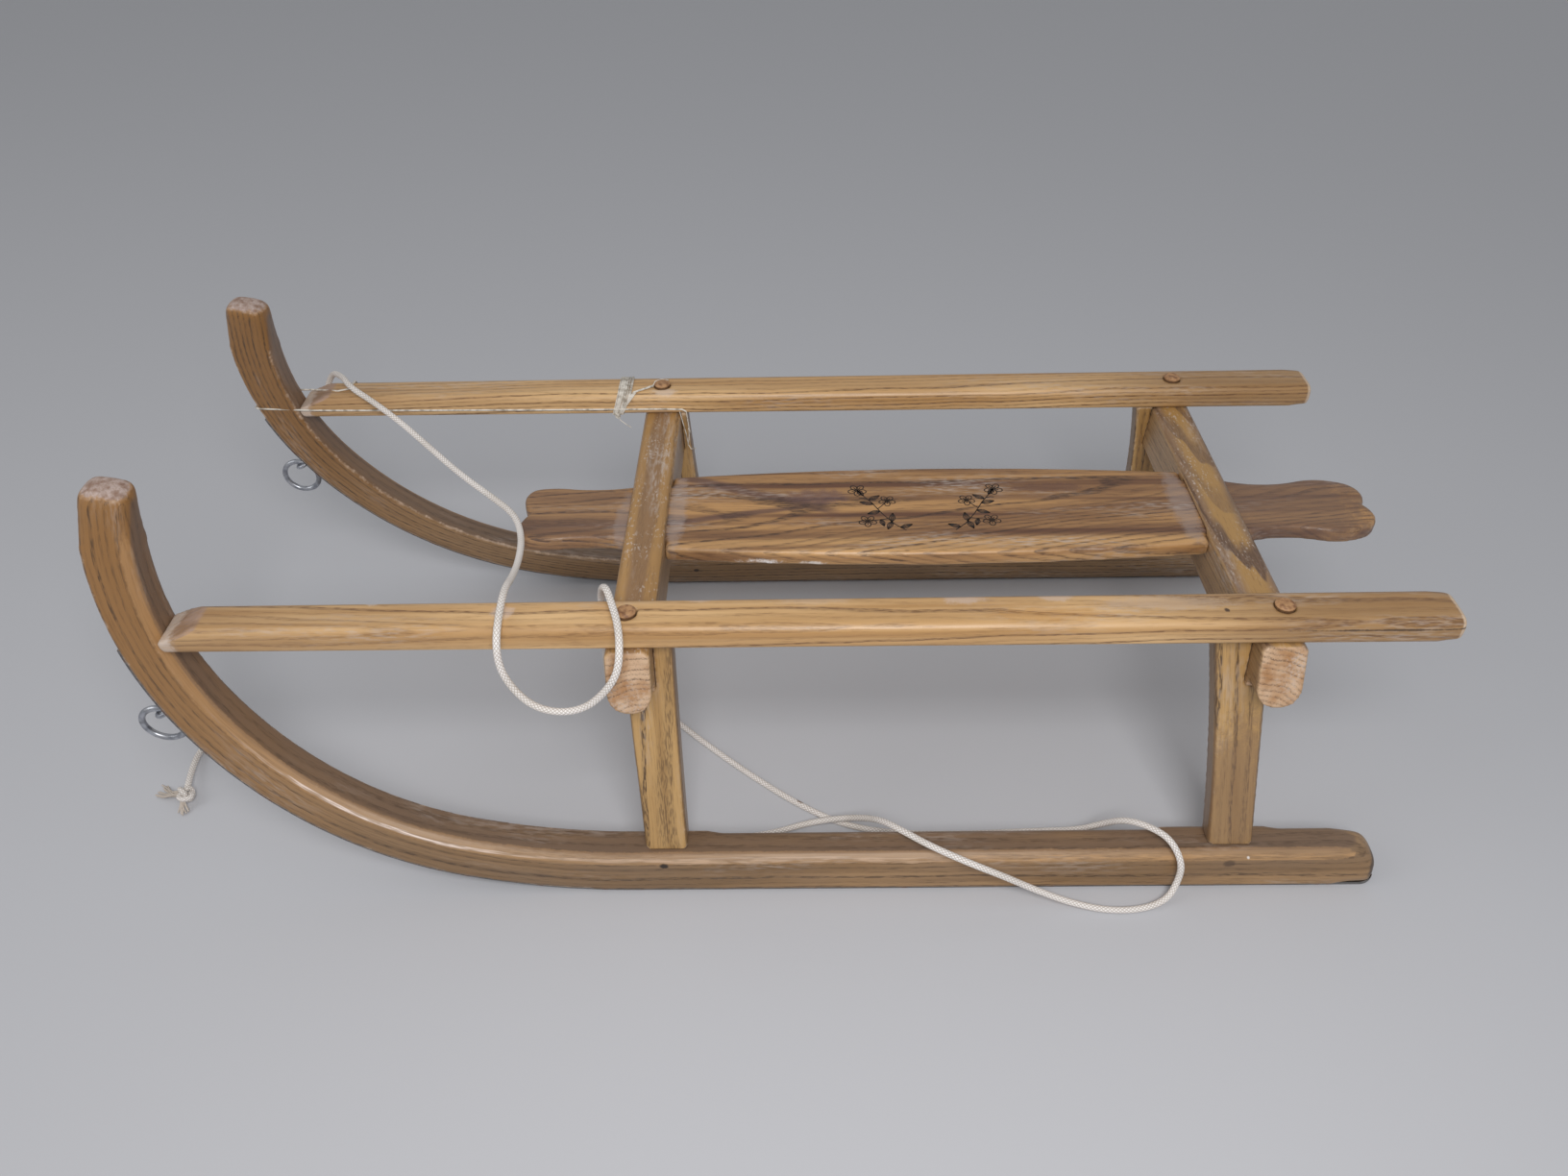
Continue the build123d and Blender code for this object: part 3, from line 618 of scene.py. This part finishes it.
# Burnt ornament: a flowering sprig each side of the seat's middle, drawn freehand with a hot wire
# before the varnish. The lines are scorched nearly black.
SPRIG_STEM = ((-0.108, 0.031), (-0.099, 0.0225), (-0.0895, 0.008), (-0.0815, -0.0075), (-0.0705, -0.0245))
SPRIG_TWIGS = (
    ((-0.0855, 0.001), (-0.089, -0.003), (-0.0925, -0.0075)),
    ((-0.0935, 0.0145), (-0.087, 0.016), (-0.0795, 0.0175)),
    ((-0.0775, -0.0135), (-0.0735, -0.015), (-0.0705, -0.0145)),
)
SPRIG_FLOWERS = ((-0.0695, -0.0265, 0.0078), (-0.0945, -0.0105, 0.007), (-0.0765, 0.018, 0.0074))
SPRIG_LEAVES = (
    (-0.1035, 0.0275, 205, 0.011), (-0.0965, 0.019, 262, 0.012), (-0.0965, 0.019, 70, 0.011),
    (-0.0875, 0.004, 20, 0.0115), (-0.0825, -0.006, 345, 0.012), (-0.079, -0.012, 215, 0.0115),
    (-0.0745, -0.0185, 300, 0.0095), (-0.0875, 0.0158, 105, 0.0095),
)
SPRIG_MIDDLE = -0.1285
PETALS = 5
PETAL_FIRST_BEARING = 17
PETAL_PLACE, PETAL_LENGTH, PETAL_WIDTH = 0.62, 0.44, 0.34
LEAF_SWELL = ((0.2, 0.7), (0.45, 1.0), (0.75, 0.6), (1.0, 0.0))
SCORCH_RADIUS = 0.0008
SCORCH_SUNK = 0.00055


def drawn_curve(name, lines, kind, resolution=5):
    """A curve along each line: straight from point to point, or a smooth NURBS line that they guide."""
    drawing = bpy.data.curves.new(name, "CURVE")
    drawing.dimensions = "3D"
    for line in lines:
        spline = drawing.splines.new(kind)
        spline.points.add(len(line) - 1)
        for point, spot in zip(spline.points, line):
            point.co = (*spot, 1)
        if kind == "NURBS":
            spline.order_u = 3
            spline.use_endpoint_u = True
            spline.resolution_u = resolution
    return placed(name, drawing)


def drawn_lines(name, lines, radius, kind="POLY", sides=1):
    """Thin round strands, strokes or wires along many short lines, as one mesh."""
    piece = drawn_curve(name, lines, kind)
    piece.data.bevel_depth = radius
    piece.data.bevel_resolution = sides
    piece.data.use_fill_caps = True
    take_up(piece)
    bpy.ops.object.convert(target="MESH")
    bpy.ops.object.shade_smooth()
    piece.data.materials.clear()
    return piece


def stepped(x, y, lean, out, wide):
    """The point that lies so far out and aside from x and y, on a bearing."""
    return x + out * math.cos(lean) - wide * math.sin(lean), y + out * math.sin(lean) + wide * math.cos(lean)


def sprig_strokes():
    """The strokes of the left-hand sprig, as flat lines."""
    strokes = [SPRIG_STEM] + list(SPRIG_TWIGS)
    for x, y, reach in SPRIG_FLOWERS:
        for petal in range(PETALS):
            lean = math.radians(360 / PETALS * petal + PETAL_FIRST_BEARING)
            middle = stepped(x, y, lean, reach * PETAL_PLACE, 0)
            loop = []
            for step in range(9):
                turn = math.radians(45 * step)
                out, wide = math.cos(turn) * reach * PETAL_LENGTH, math.sin(turn) * reach * PETAL_WIDTH
                loop.append(stepped(*middle, lean, out, wide))
            strokes += [loop, ((x, y), middle)]
    for x, y, bearing, length in SPRIG_LEAVES:
        lean = math.radians(bearing)
        for bow in (-0.21, -0.07, 0.07, 0.21):
            side = [stepped(x, y, lean, length * share, length * bow * swell) for share, swell in LEAF_SWELL]
            strokes.append([(x, y)] + side)
    return strokes


board_top = float(np.percentile(points[:, 2], 97)) - SCORCH_SUNK
left_sprig = sprig_strokes()
right_sprig = [[(2 * SPRIG_MIDDLE - x, y) for x, y in stroke] for stroke in left_sprig]
scorch_lines = [[(x, y, board_top) for x, y in stroke] for stroke in left_sprig + right_sprig]
sprigs = drawn_lines("burnt_sprigs", scorch_lines, SCORCH_RADIUS)
scorch_finish, surface, place = new_finish("scorched_ash")
faded = place.stretched(260, 260, 2.0)
feed(surface, "Base Color", faded.rise(0.45, 0.75).over(stain(34, 25, 20), stain(72, 50, 38)))
feed(surface, "Roughness", 0.55 + faded * 0.25)
emboss(surface, faded, 0.0002, 0.4)
sprigs.data.materials.append(scorch_finish)
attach(sprigs, "sledge")

# Dowels: turned pegs driven down through rail and crossbar, their domed heads standing proud and
# darker round their foot.
dowel_finish, surface, place = new_finish("dowel_wood")
height = place.part(2)
fibre = place.stretched(240, 240, 3.0)
head = (1 - height.rise(0.2685, 0.2698)) * 0.75
colour = fibre.rise(0.35, 0.7).over(stain(182, 138, 96), stain(128, 88, 58))
colour = head.over(colour, stain(66, 46, 32))
feed(surface, "Base Color", colour)
feed(surface, "Roughness", 0.4 + fibre * 0.2)
emboss(surface, fibre, 0.0004, 0.4)
for end in ("front", "rear"):
    for side in ("left", "right"):
        dowel = nodes["dowel_" + end + "_" + side]
        dowel.data.materials.clear()
        dowel.data.materials.append(dowel_finish)

# Soles: flat steel strips under the runners, bent up with them and ending above the tow rings, and
# hammered up round the heels. They are scoured by snow and grit, with rust freckles.
SOLE_WIDTH = 0.024
SOLE_THICKNESS = 0.0025
SOLE_END_HEADING = math.radians(79.1)
SOLE_START = 0.002
SOLE_FINE_TO = 0.012
SOLE_FINE_STEP = 0.001
HEEL_ROUND = 0.0085


def sole_strip(name, hand):
    """A flat strip along the underside of the stave, its rear end turned up round the heel."""
    beyond = (stave_length >= SOLE_FINE_TO) & (stave_heading <= SOLE_END_HEADING)
    turned_up = np.arange(SOLE_START, SOLE_FINE_TO, SOLE_FINE_STEP)
    reached = np.concatenate([turned_up, stave_length[beyond]])
    middle_x = np.interp(reached, stave_length, stave_line[:, 0])
    middle_z = np.interp(reached, stave_length, stave_line[:, 1])
    heading = np.interp(reached, stave_length, stave_heading)
    ahead = np.clip(HEEL_ROUND + SOLE_START - reached, 0, HEEL_ROUND)
    lift = HEEL_ROUND - np.sqrt(HEEL_ROUND**2 - ahead**2)
    inset = (RUNNER_WIDTH - SOLE_WIDTH) / 2
    rows = []
    for x, z, turn, rise in zip(middle_x, middle_z, heading, lift):
        for below, outer in ((0, 1), (1, 1), (1, 0), (0, 0)):
            drop = RUNNER_DEPTH / 2 + below * SOLE_THICKNESS - rise
            height = z - drop * math.cos(turn)
            out = FRAME_HALF_WIDTH - height * LEAN - inset - (1 - outer) * SOLE_WIDTH
            rows.append((x + drop * math.sin(turn), hand * out, height))
    faces = [(0, 1, 2, 3), tuple(range(len(rows) - 4, len(rows)))]
    for base in range(0, len(rows) - 4, 4):
        faces += [(base + i, base + (i + 1) % 4, base + 4 + (i + 1) % 4, base + 4 + i) for i in range(4)]
    strip = bpy.data.meshes.new(name)
    strip.from_pydata(rows, [], faces)
    piece = placed(name, strip)
    take_up(piece)
    bpy.ops.object.mode_set(mode="EDIT")
    bpy.ops.mesh.select_all(action="SELECT")
    bpy.ops.mesh.normals_make_consistent(inside=False)
    bpy.ops.object.mode_set(mode="OBJECT")
    rounding = piece.modifiers.new("rounding", "BEVEL")
    rounding.width = 0.0005
    rounding.segments = 2
    bpy.ops.object.modifier_apply(modifier="rounding")
    return piece


sole_finish, surface, place = new_finish("sole_steel")
scour = place.vector("MULTIPLY", (20.0, 900.0, 300.0))
scour = scour.node("ShaderNodeTexNoise", None, {"Vector": scour, "Scale": 1.0, "Detail": 3.0})
rust = place.stretched(90, 140, 4.0).rise(0.52, 0.66)
colour = scour.rise(0.3, 0.7).over(stain(150, 148, 146), stain(112, 110, 110))
colour = (rust * 0.75).over(colour, stain(104, 66, 44))
feed(surface, "Base Color", colour)
feed(surface, "Metallic", 1 - rust * 0.8)
feed(surface, "Roughness", 0.32 + rust * 0.4 + scour * 0.15)
emboss(surface, scour + rust * 0.6, 0.0002, 0.4)
for side, hand in (("left", 1), ("right", -1)):
    sole = sole_strip("sole_strip_" + side, hand)
    sole.data.materials.append(sole_finish)
    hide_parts("sole_" + side)
    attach(sole, "sledge")

# Tow rings: a zinc-plated ring of round wire, welded shut, that hangs from a screw eye in each
# bend. The eye is a thinner plated wire, coiled round once and screwed in from outside.
zinc_finish, surface, place = new_finish("zinc_steel")
bloom = place.stretched(160, 160, 4.0)
smut = place.stretched(70, 70, 3.0).rise(0.5, 0.7)
colour = bloom.rise(0.35, 0.7).over(stain(196, 198, 204), stain(150, 152, 160))
colour = (smut * 0.5).over(colour, stain(86, 80, 78))
feed(surface, "Base Color", colour)
feed(surface, "Roughness", 0.22 + bloom * 0.18 + smut * 0.25)
feed(surface, "Metallic", 1 - smut * 0.3)
emboss(surface, bloom, 0.0002, 0.3)
RING_PIVOT = Vector((0.483396, 0.170071, 0.176312))
RING_RADIUS = 0.0165
RING_WIRE_RADIUS = 0.0025
RING_DROP = 0.0118
WELD_TURN = 2.2
WELD_SWELL, WELD_SWELL_WIDTH = 0.14, 0.13
WELD_PINCH, WELD_PINCH_WIDTH = 0.12, 0.035
EYE_RADIUS = 0.0067
EYE_WIRE_RADIUS = 0.0018
EYE_REACH = 0.0115
EYE_SHANK = 0.02
EYE_NECK = 0.0004
eye_out = Vector((math.sin(math.radians(64.7)), 0, -math.cos(math.radians(64.7))))
for side, hand in (("left", 1), ("right", -1)):
    middle = Vector((RING_PIVOT.x, hand * RING_PIVOT.y, RING_PIVOT.z - RING_DROP))
    bpy.ops.object.select_all(action="DESELECT")
    bpy.ops.mesh.primitive_torus_add(
        major_segments=72, minor_segments=16, major_radius=RING_RADIUS, minor_radius=RING_WIRE_RADIUS,
        location=middle, rotation=(math.radians(90), 0, 0),
    )
    ring = bpy.context.object
    ring.name = "tow_ring_" + side
    bpy.ops.object.transform_apply(location=True, rotation=True, scale=True)
    # The butt weld: a short swollen stretch, pinched at its middle
    for vertex in ring.data.vertices:
        away = vertex.co - middle
        angle = math.atan2(away.z, away.x) + WELD_TURN
        heart = middle + Vector((away.x, 0, away.z)).normalized() * RING_RADIUS
        swell = 1 + WELD_SWELL * math.exp(-((angle / WELD_SWELL_WIDTH) ** 2))
        swell -= WELD_PINCH * math.exp(-((angle / WELD_PINCH_WIDTH) ** 2))
        vertex.co = heart + (vertex.co - heart) * swell
    bpy.ops.object.shade_smooth()
    ring.data.materials.append(zinc_finish)
    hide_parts("ring_" + side)
    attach(ring, "ring_" + side)

    foot = Vector((RING_PIVOT.x, hand * RING_PIVOT.y, RING_PIVOT.z)) - eye_out * (EYE_REACH + EYE_RADIUS)
    path = [foot - eye_out * EYE_SHANK, foot + eye_out * (EYE_REACH - EYE_RADIUS - EYE_NECK)]
    for step in range(4, 47):
        angle = math.radians(-90 + step * 7.5)
        sideways = Vector((0, 1, 0)) * (math.cos(angle) * EYE_RADIUS)
        path.append(foot + eye_out * (EYE_REACH + math.sin(angle) * EYE_RADIUS) + sideways)
    eye = drawn_lines("screw_eye_" + side, [path], EYE_WIRE_RADIUS, sides=5)
    eye.data.materials.append(zinc_finish)
    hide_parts("eye_" + side)
    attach(eye, "sledge")

# Pull rope: one limp braided cotton cord, off-white and a little grubby. It starts at a hitch on
# the right horn, hangs in a loop over the left rail and ends on the floor in a frayed stopper knot.
ROPE_DIAMETER = 0.0055
BRAID_PITCH = 0.0034
BRAID_STRANDS = 6
ROPE_ROUTE = (
    (0.438, -0.1873, 0.2545), (0.431, -0.1893, 0.271), (0.412, -0.168, 0.2785), (0.398, -0.147, 0.2785),
    (0.374, -0.133, 0.2705), (0.347, -0.117, 0.2575), (0.315, -0.087, 0.249), (0.28, -0.05, 0.245),
    (0.246, -0.017, 0.244), (0.221, 0.011, 0.246), (0.209, 0.044, 0.249), (0.204, 0.08, 0.254),
    (0.202, 0.114, 0.263), (0.2005, 0.142, 0.276), (0.199, 0.169, 0.277), (0.199, 0.19, 0.269),
    (0.2, 0.195, 0.248), (0.194, 0.197, 0.228), (0.181, 0.2, 0.211), (0.162, 0.203, 0.206),
    (0.141, 0.205, 0.212), (0.124, 0.207, 0.23), (0.112, 0.207, 0.25), (0.1095, 0.199, 0.268),
    (0.112, 0.182, 0.276), (0.119, 0.16, 0.2755), (0.125, 0.143, 0.277), (0.132, 0.129, 0.264),
    (0.136, 0.119, 0.236), (0.141, 0.1, 0.19), (0.15, 0.074, 0.13), (0.157, 0.046, 0.072),
    (0.153, 0.022, 0.025), (0.135, 0.006, 0.004), (0.11, 0.015, 0.003), (0.075, 0.05, 0.0032),
    (0.034, 0.087, 0.003), (-0.013, 0.125, 0.003), (-0.055, 0.15, 0.003), (-0.101, 0.16, 0.003),
    (-0.166, 0.161, 0.0032), (-0.223, 0.158, 0.003), (-0.26, 0.162, 0.009), (-0.278, 0.168, 0.026),
    (-0.291, 0.18, 0.046), (-0.308, 0.193, 0.052), (-0.321, 0.206, 0.052), (-0.3295, 0.2185, 0.038),
    (-0.33, 0.221, 0.019), (-0.321, 0.231, 0.005), (-0.299, 0.239, 0.003), (-0.269, 0.24, 0.0032),
    (-0.239, 0.233, 0.005), (-0.209, 0.229, 0.018), (-0.181, 0.229, 0.037), (-0.153, 0.226, 0.0505),
    (-0.124, 0.211, 0.0525), (-0.102, 0.193, 0.05), (-0.087, 0.176, 0.042), (-0.074, 0.161, 0.027),
    (-0.055, 0.149, 0.012), (-0.025, 0.147, 0.0034), (0.009, 0.159, 0.003), (0.059, 0.166, 0.0032),
    (0.124, 0.169, 0.003), (0.189, 0.169, 0.0032), (0.249, 0.164, 0.003), (0.307, 0.151, 0.0032),
    (0.364, 0.131, 0.003), (0.414, 0.107, 0.0032), (0.459, 0.079, 0.003), (0.494, 0.055, 0.0032),
    (0.521, 0.041, 0.003), (0.545, 0.04, 0.0032), (0.558, 0.06, 0.0046), (0.545, 0.107, 0.0094),
)


def smooth_line(name, route):
    """Points along the smooth NURBS line that a route guides. It cuts inside the route's corners."""
    carrier = drawn_curve(name, [route], "NURBS", 14)
    bpy.context.view_layer.update()
    drawn = bpy.data.meshes.new_from_object(carrier)
    found = [vertex.co.copy() for vertex in drawn.vertices]
    bpy.data.objects.remove(carrier)
    bpy.data.meshes.remove(drawn)
    return found


def braided_tube(name, line, radius, sides=12):
    """A tube along a line. Its UV map runs in metres along the cord and once round it."""
    heading = (line[1] - line[0]).normalized()
    across = heading.orthogonal().normalized()
    rows, lengths = [], [0.0]
    for number, middle in enumerate(line):
        ahead = line[min(number + 1, len(line) - 1)] - line[max(number - 1, 0)]
        ahead.normalize()
        across = (across - ahead * across.dot(ahead)).normalized()
        up = ahead.cross(across)
        turns = [2 * math.pi * side / sides for side in range(sides)]
        rows += [middle + across * (math.cos(t) * radius) + up * (math.sin(t) * radius) for t in turns]
        if number:
            lengths.append(lengths[-1] + (middle - line[number - 1]).length)
    faces = []
    for row in range(len(line) - 1):
        for side in range(sides):
            beside = (side + 1) % sides
            base = row * sides
            faces.append((base + side, base + beside, base + sides + beside, base + sides + side))
    faces.append(tuple(reversed(range(sides))))
    last = (len(line) - 1) * sides
    faces.append(tuple(range(last, last + sides)))
    tube = bpy.data.meshes.new(name)
    tube.from_pydata([tuple(row) for row in rows], [], faces)
    lay = tube.uv_layers.new(name="lay")
    for face in tube.polygons:
        corners = [divmod(tube.loops[i].vertex_index, sides) for i in face.loop_indices]
        wraps = {side for _, side in corners} >= {0, sides - 1}
        for i, (row, side) in zip(face.loop_indices, corners):
            turn = side + sides if wraps and side == 0 else side
            lay.data[i].uv = (lengths[row], turn / sides)
    tube.polygons.foreach_set("use_smooth", [True] * len(tube.polygons))
    return placed(name, tube)


rope_finish, surface, place = new_finish("cotton_cord")
lay = place.node("ShaderNodeUVMap", {"uv_map": "lay"})
run, turn = lay.part(0) / BRAID_PITCH, lay.part(1) * BRAID_STRANDS
one_way = (run + turn).math("FRACT") - 0.5
other_way = (run - turn).math("FRACT") - 0.5
strand = one_way.math("ABSOLUTE").math("MAXIMUM", other_way.math("ABSOLUTE"))
strand_relief_and_shade = 1 - strand.rise(0.28, 0.5)
grime = place.stretched(24, 24, 3.0).rise(0.45, 0.75)
fuzz = place.stretched(900, 900, 2.0)
# Painted shade: the grooves between the braid's strands are darker than the strands' crowns.
colour = strand_relief_and_shade.over(stain(200, 188, 176), stain(252, 246, 242))
colour = (grime * 0.35).over(colour, stain(190, 178, 162))
colour = touch_up(colour, place, (((-0.0181, 0.1236, 0.004), (0.004, 0.004, 0.006), (120, 84, 48), 0.85),))
feed(surface, "Base Color", colour)
feed(surface, "Roughness", 0.86 + fuzz * 0.1)
emboss(surface, strand_relief_and_shade + fuzz * 0.35, 0.0005, 0.7)

rope_line = smooth_line("rope_route", ROPE_ROUTE)
rope = braided_tube("pull_rope", rope_line, ROPE_DIAMETER / 2)
rope.data.materials.append(rope_finish)
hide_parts("rope")
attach(rope, "sledge")


# Knots: an overhand stopper with a frayed, unravelled tail at the rope's free end, and a plain
# knot that holds it to the twine at the right horn. Both are the same cord, pulled tight.
KNOT_STEPS = 24
KNOT_SPREAD = 0.62
KNOT_REACH = 0.9
KNOT_CORD = 0.42
TAIL_RADIUS = 0.00065


def overhand(name, mouth, heading, size):
    """A small tight knot of cord at a mouth, the rope's own end running into it."""
    ahead = heading.normalized()
    across = ahead.orthogonal().normalized()
    up = ahead.cross(across)
    route = []
    for step in range(KNOT_STEPS + 3):
        turn = 2 * math.pi * step / KNOT_STEPS
        around = 1.0 + 0.45 * math.cos(3 * turn)
        x = math.cos(2 * turn) * around
        y = math.sin(2 * turn) * around
        z = math.sin(3 * turn) * 0.75
        middle = mouth + ahead * (size * (KNOT_REACH + KNOT_SPREAD * x))
        route.append(middle + across * (size * KNOT_SPREAD * y) + up * (size * KNOT_SPREAD * z))
    return braided_tube(name, smooth_line(name + "_route", route), ROPE_DIAMETER * KNOT_CORD, 10)


knot = overhand("stopper_knot", rope_line[-1], rope_line[-1] - rope_line[-4], 0.008)
hitch = overhand("horn_hitch", rope_line[0], rope_line[0] - rope_line[3], 0.0058)
for piece, stood_for in ((knot, "rope_knot"), (hitch, "rope_hitch")):
    piece.data.materials.append(rope_finish)
    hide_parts(stood_for)
    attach(piece, "sledge")
chance = np.random.default_rng(5)
fringe = []
for _ in range(16):
    spread = chance.uniform(-1, 1, 6)
    fringe.append((
        (0.5465, 0.115 + spread[0] * 0.002, 0.0085 + spread[1] * 0.002),
        (0.5555, 0.111 + spread[2] * 0.004, 0.0075 + spread[1] * 0.002),
        (0.564, 0.107 + spread[3] * 0.006, 0.003 + spread[4] * 0.0015),
        (0.5735 + spread[5] * 0.004, 0.101 + spread[3] * 0.009, 0.0012),
    ))
for _ in range(10):
    spread = chance.uniform(-1, 1, 4)
    fringe.append((
        (0.5465, 0.115, 0.0095 + spread[0] * 0.001),
        (0.545 + spread[1] * 0.003, 0.1215, 0.0085 + spread[0] * 0.001),
        (0.544 + spread[2] * 0.006, 0.129 + spread[3] * 0.003, 0.0014),
    ))
tail = drawn_lines("frayed_tail", fringe, TAIL_RADIUS, "NURBS")
tail.data.materials.append(rope_finish)
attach(tail, "sledge")

# Twine: thin grey-white twine, wound many times round the right rail as a mend. One strand runs
# taut from there along the rail and round the horn to the rope's hitch; short ends hang loose.
RAIL_INNER = 0.1442
RAIL_OUTER = 0.1798
TWINE_RADIUS = 0.00045
TAUT_RADIUS = 0.00085
RAIL_TOP = 0.268
RAIL_UNDER = 0.247
MEND_TURNS = 34
MEND_REAR = 0.1367
MEND_MIDDLE = 0.143
MEND_LENGTH = 0.0126
twine_lines = []
for turn in range(MEND_TURNS):
    stray = chance.uniform(-1, 1, 4)
    top_x = MEND_REAR + MEND_LENGTH * turn / (MEND_TURNS - 1) + stray[0] * 0.0006
    under_x = 0.1508 + (top_x - MEND_MIDDLE) * 0.8 + stray[1] * 0.0006
    inner_x = under_x * 0.25 + top_x * 0.75
    outer_x = MEND_MIDDLE + (top_x - MEND_MIDDLE) * 0.8 + stray[2] * 0.0006
    lift = 0.0004 + abs(stray[3]) * 0.0006
    twine_lines.append((
        (under_x, -RAIL_INNER + lift, 0.2478), (inner_x, -RAIL_INNER + lift, 0.2632),
        (top_x, -RAIL_INNER - 0.0046 + lift, RAIL_TOP + lift), (top_x, -RAIL_HALF_SPACING, 0.2682 + lift),
        (top_x, -RAIL_OUTER + 0.0046 - lift, RAIL_TOP + lift), (outer_x, -RAIL_OUTER - lift, 0.2634),
        (outer_x, -RAIL_OUTER - lift, 0.2488), (outer_x, -RAIL_OUTER + 0.0024, RAIL_UNDER - lift),
        (under_x, -RAIL_INNER - 0.003, RAIL_UNDER - lift), (under_x, -RAIL_INNER + lift, 0.2478),
    ))
for strand in range(4):
    aside = strand * 0.0009
    twine_lines.append((
        (0.15, -0.1434, 0.2476), (0.1425 - aside, -0.1433, 0.26), (0.1395 - aside, -0.1438, 0.264),
        (0.1345 - aside, -0.1487, 0.269), (0.1172, -0.16 + aside, 0.2692),
        (0.116, -0.1665 + aside * 0.3, 0.2694), (0.1105, -0.1706, 0.2694), (0.103, -0.169, 0.2692),
    ))
for loop in range(5):
    stray = chance.uniform(-1, 1, 3) * 0.0006
    ring_points = []
    for step in range(9):
        turn = math.radians(45 * step)
        ring_points.append((
            0.151 + stray[0] + math.cos(turn) * 0.0019, -0.1424 + stray[1] + math.sin(turn) * 0.0008,
            0.2472 + stray[2] + math.sin(turn + loop) * 0.0019,
        ))
    twine_lines.append(ring_points)
LOOSE_ENDS = (
    ((0.151, -0.1428, 0.247), (0.149, -0.141, 0.243), (0.1435, -0.1402, 0.2385), (0.1395, -0.1405, 0.235)),
    ((0.0925, -0.1434, 0.25), (0.0905, -0.1425, 0.24), (0.088, -0.142, 0.227), (0.0868, -0.142, 0.214)),
    ((0.0868, -0.142, 0.214), (0.0852, -0.1422, 0.224), (0.0848, -0.1425, 0.232), (0.0862, -0.1434, 0.25)),
    ((0.0852, -0.1422, 0.229), (0.0838, -0.1412, 0.227), (0.0842, -0.1405, 0.231), (0.0856, -0.141, 0.233)),
    ((0.0868, -0.142, 0.214), (0.084, -0.14, 0.21), (0.079, -0.1385, 0.212)),
)
TAUT_ROUTE = (
    (0.0862, -0.1434, 0.25), (0.09, -0.1434, 0.2524), (0.107, -0.1434, 0.253), (0.2258, -0.1436, 0.2537),
    (0.3709, -0.144, 0.255), (0.438, -0.144, 0.256), (0.4878, -0.1404, 0.2608), (0.4903, -0.1425, 0.2611),
    (0.4903, -0.17, 0.2611), (0.4878, -0.173, 0.2611), (0.447, -0.1734, 0.2612), (0.415, -0.157, 0.269),
    (0.406, -0.16, 0.2691), (0.404, -0.1752, 0.269), (0.405, -0.1812, 0.263), (0.43, -0.184, 0.256),
    (0.4375, -0.1868, 0.2545),
)
twine_finish, surface, place = new_finish("twine")
grime = place.stretched(180, 180, 3.0)
feed(surface, "Base Color", grime.rise(0.4, 0.7).over(stain(226, 219, 208), stain(164, 154, 140)))
feed(surface, "Roughness", 0.6 + grime * 0.2)
emboss(surface, grime, 0.0002, 0.4)
for name, lines, radius in (
    ("twine_mend", twine_lines, TWINE_RADIUS),
    ("twine_ends", LOOSE_ENDS, TWINE_RADIUS),
    ("twine_strand", (TAUT_ROUTE,), TAUT_RADIUS),
):
    twine = drawn_lines(name, lines, radius)
    twine.data.materials.append(twine_finish)
    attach(twine, "sledge")

# Studio: a plain pale floor, a soft lamp near the camera, a broader one to the side, a pale surround.
bpy.ops.object.select_all(action="DESELECT")
bpy.ops.mesh.primitive_plane_add(size=14, location=(0, 0, 0))
floor = bpy.context.object
floor.name = "floor"
floor_finish, surface, place = new_finish("pale_floor")
surface.inputs["Base Color"].default_value = stain(196, 196, 200)
surface.inputs["Roughness"].default_value = 0.9
floor.data.materials.append(floor_finish)
for name, spot, aim, size, power in (
    ("key_lamp", (-0.15, 1.15, 1.35), (0, 0, 0.1), 0.6, 15),
    ("side_lamp", (2.4, 0.6, 1.8), (0.1, 0, 0.1), 1.6, 10),
):
    lamp_data = bpy.data.lights.new(name, "AREA")
    lamp_data.size = size
    lamp_data.energy = power
    lamp = placed(name, lamp_data)
    lamp.location = spot
    lamp.rotation_mode = "QUATERNION"
    lamp.rotation_quaternion = (Vector(aim) - Vector(spot)).to_track_quat("-Z", "Y")
world = bpy.data.worlds.new("surround")
world.use_nodes = True
background = world.node_tree.nodes["Background"]
background.inputs["Color"].default_value = (0.96, 0.98, 1.0, 1)
background.inputs["Strength"].default_value = 0.4
bpy.context.scene.world = world
bpy.context.scene.view_settings.view_transform = "Standard"
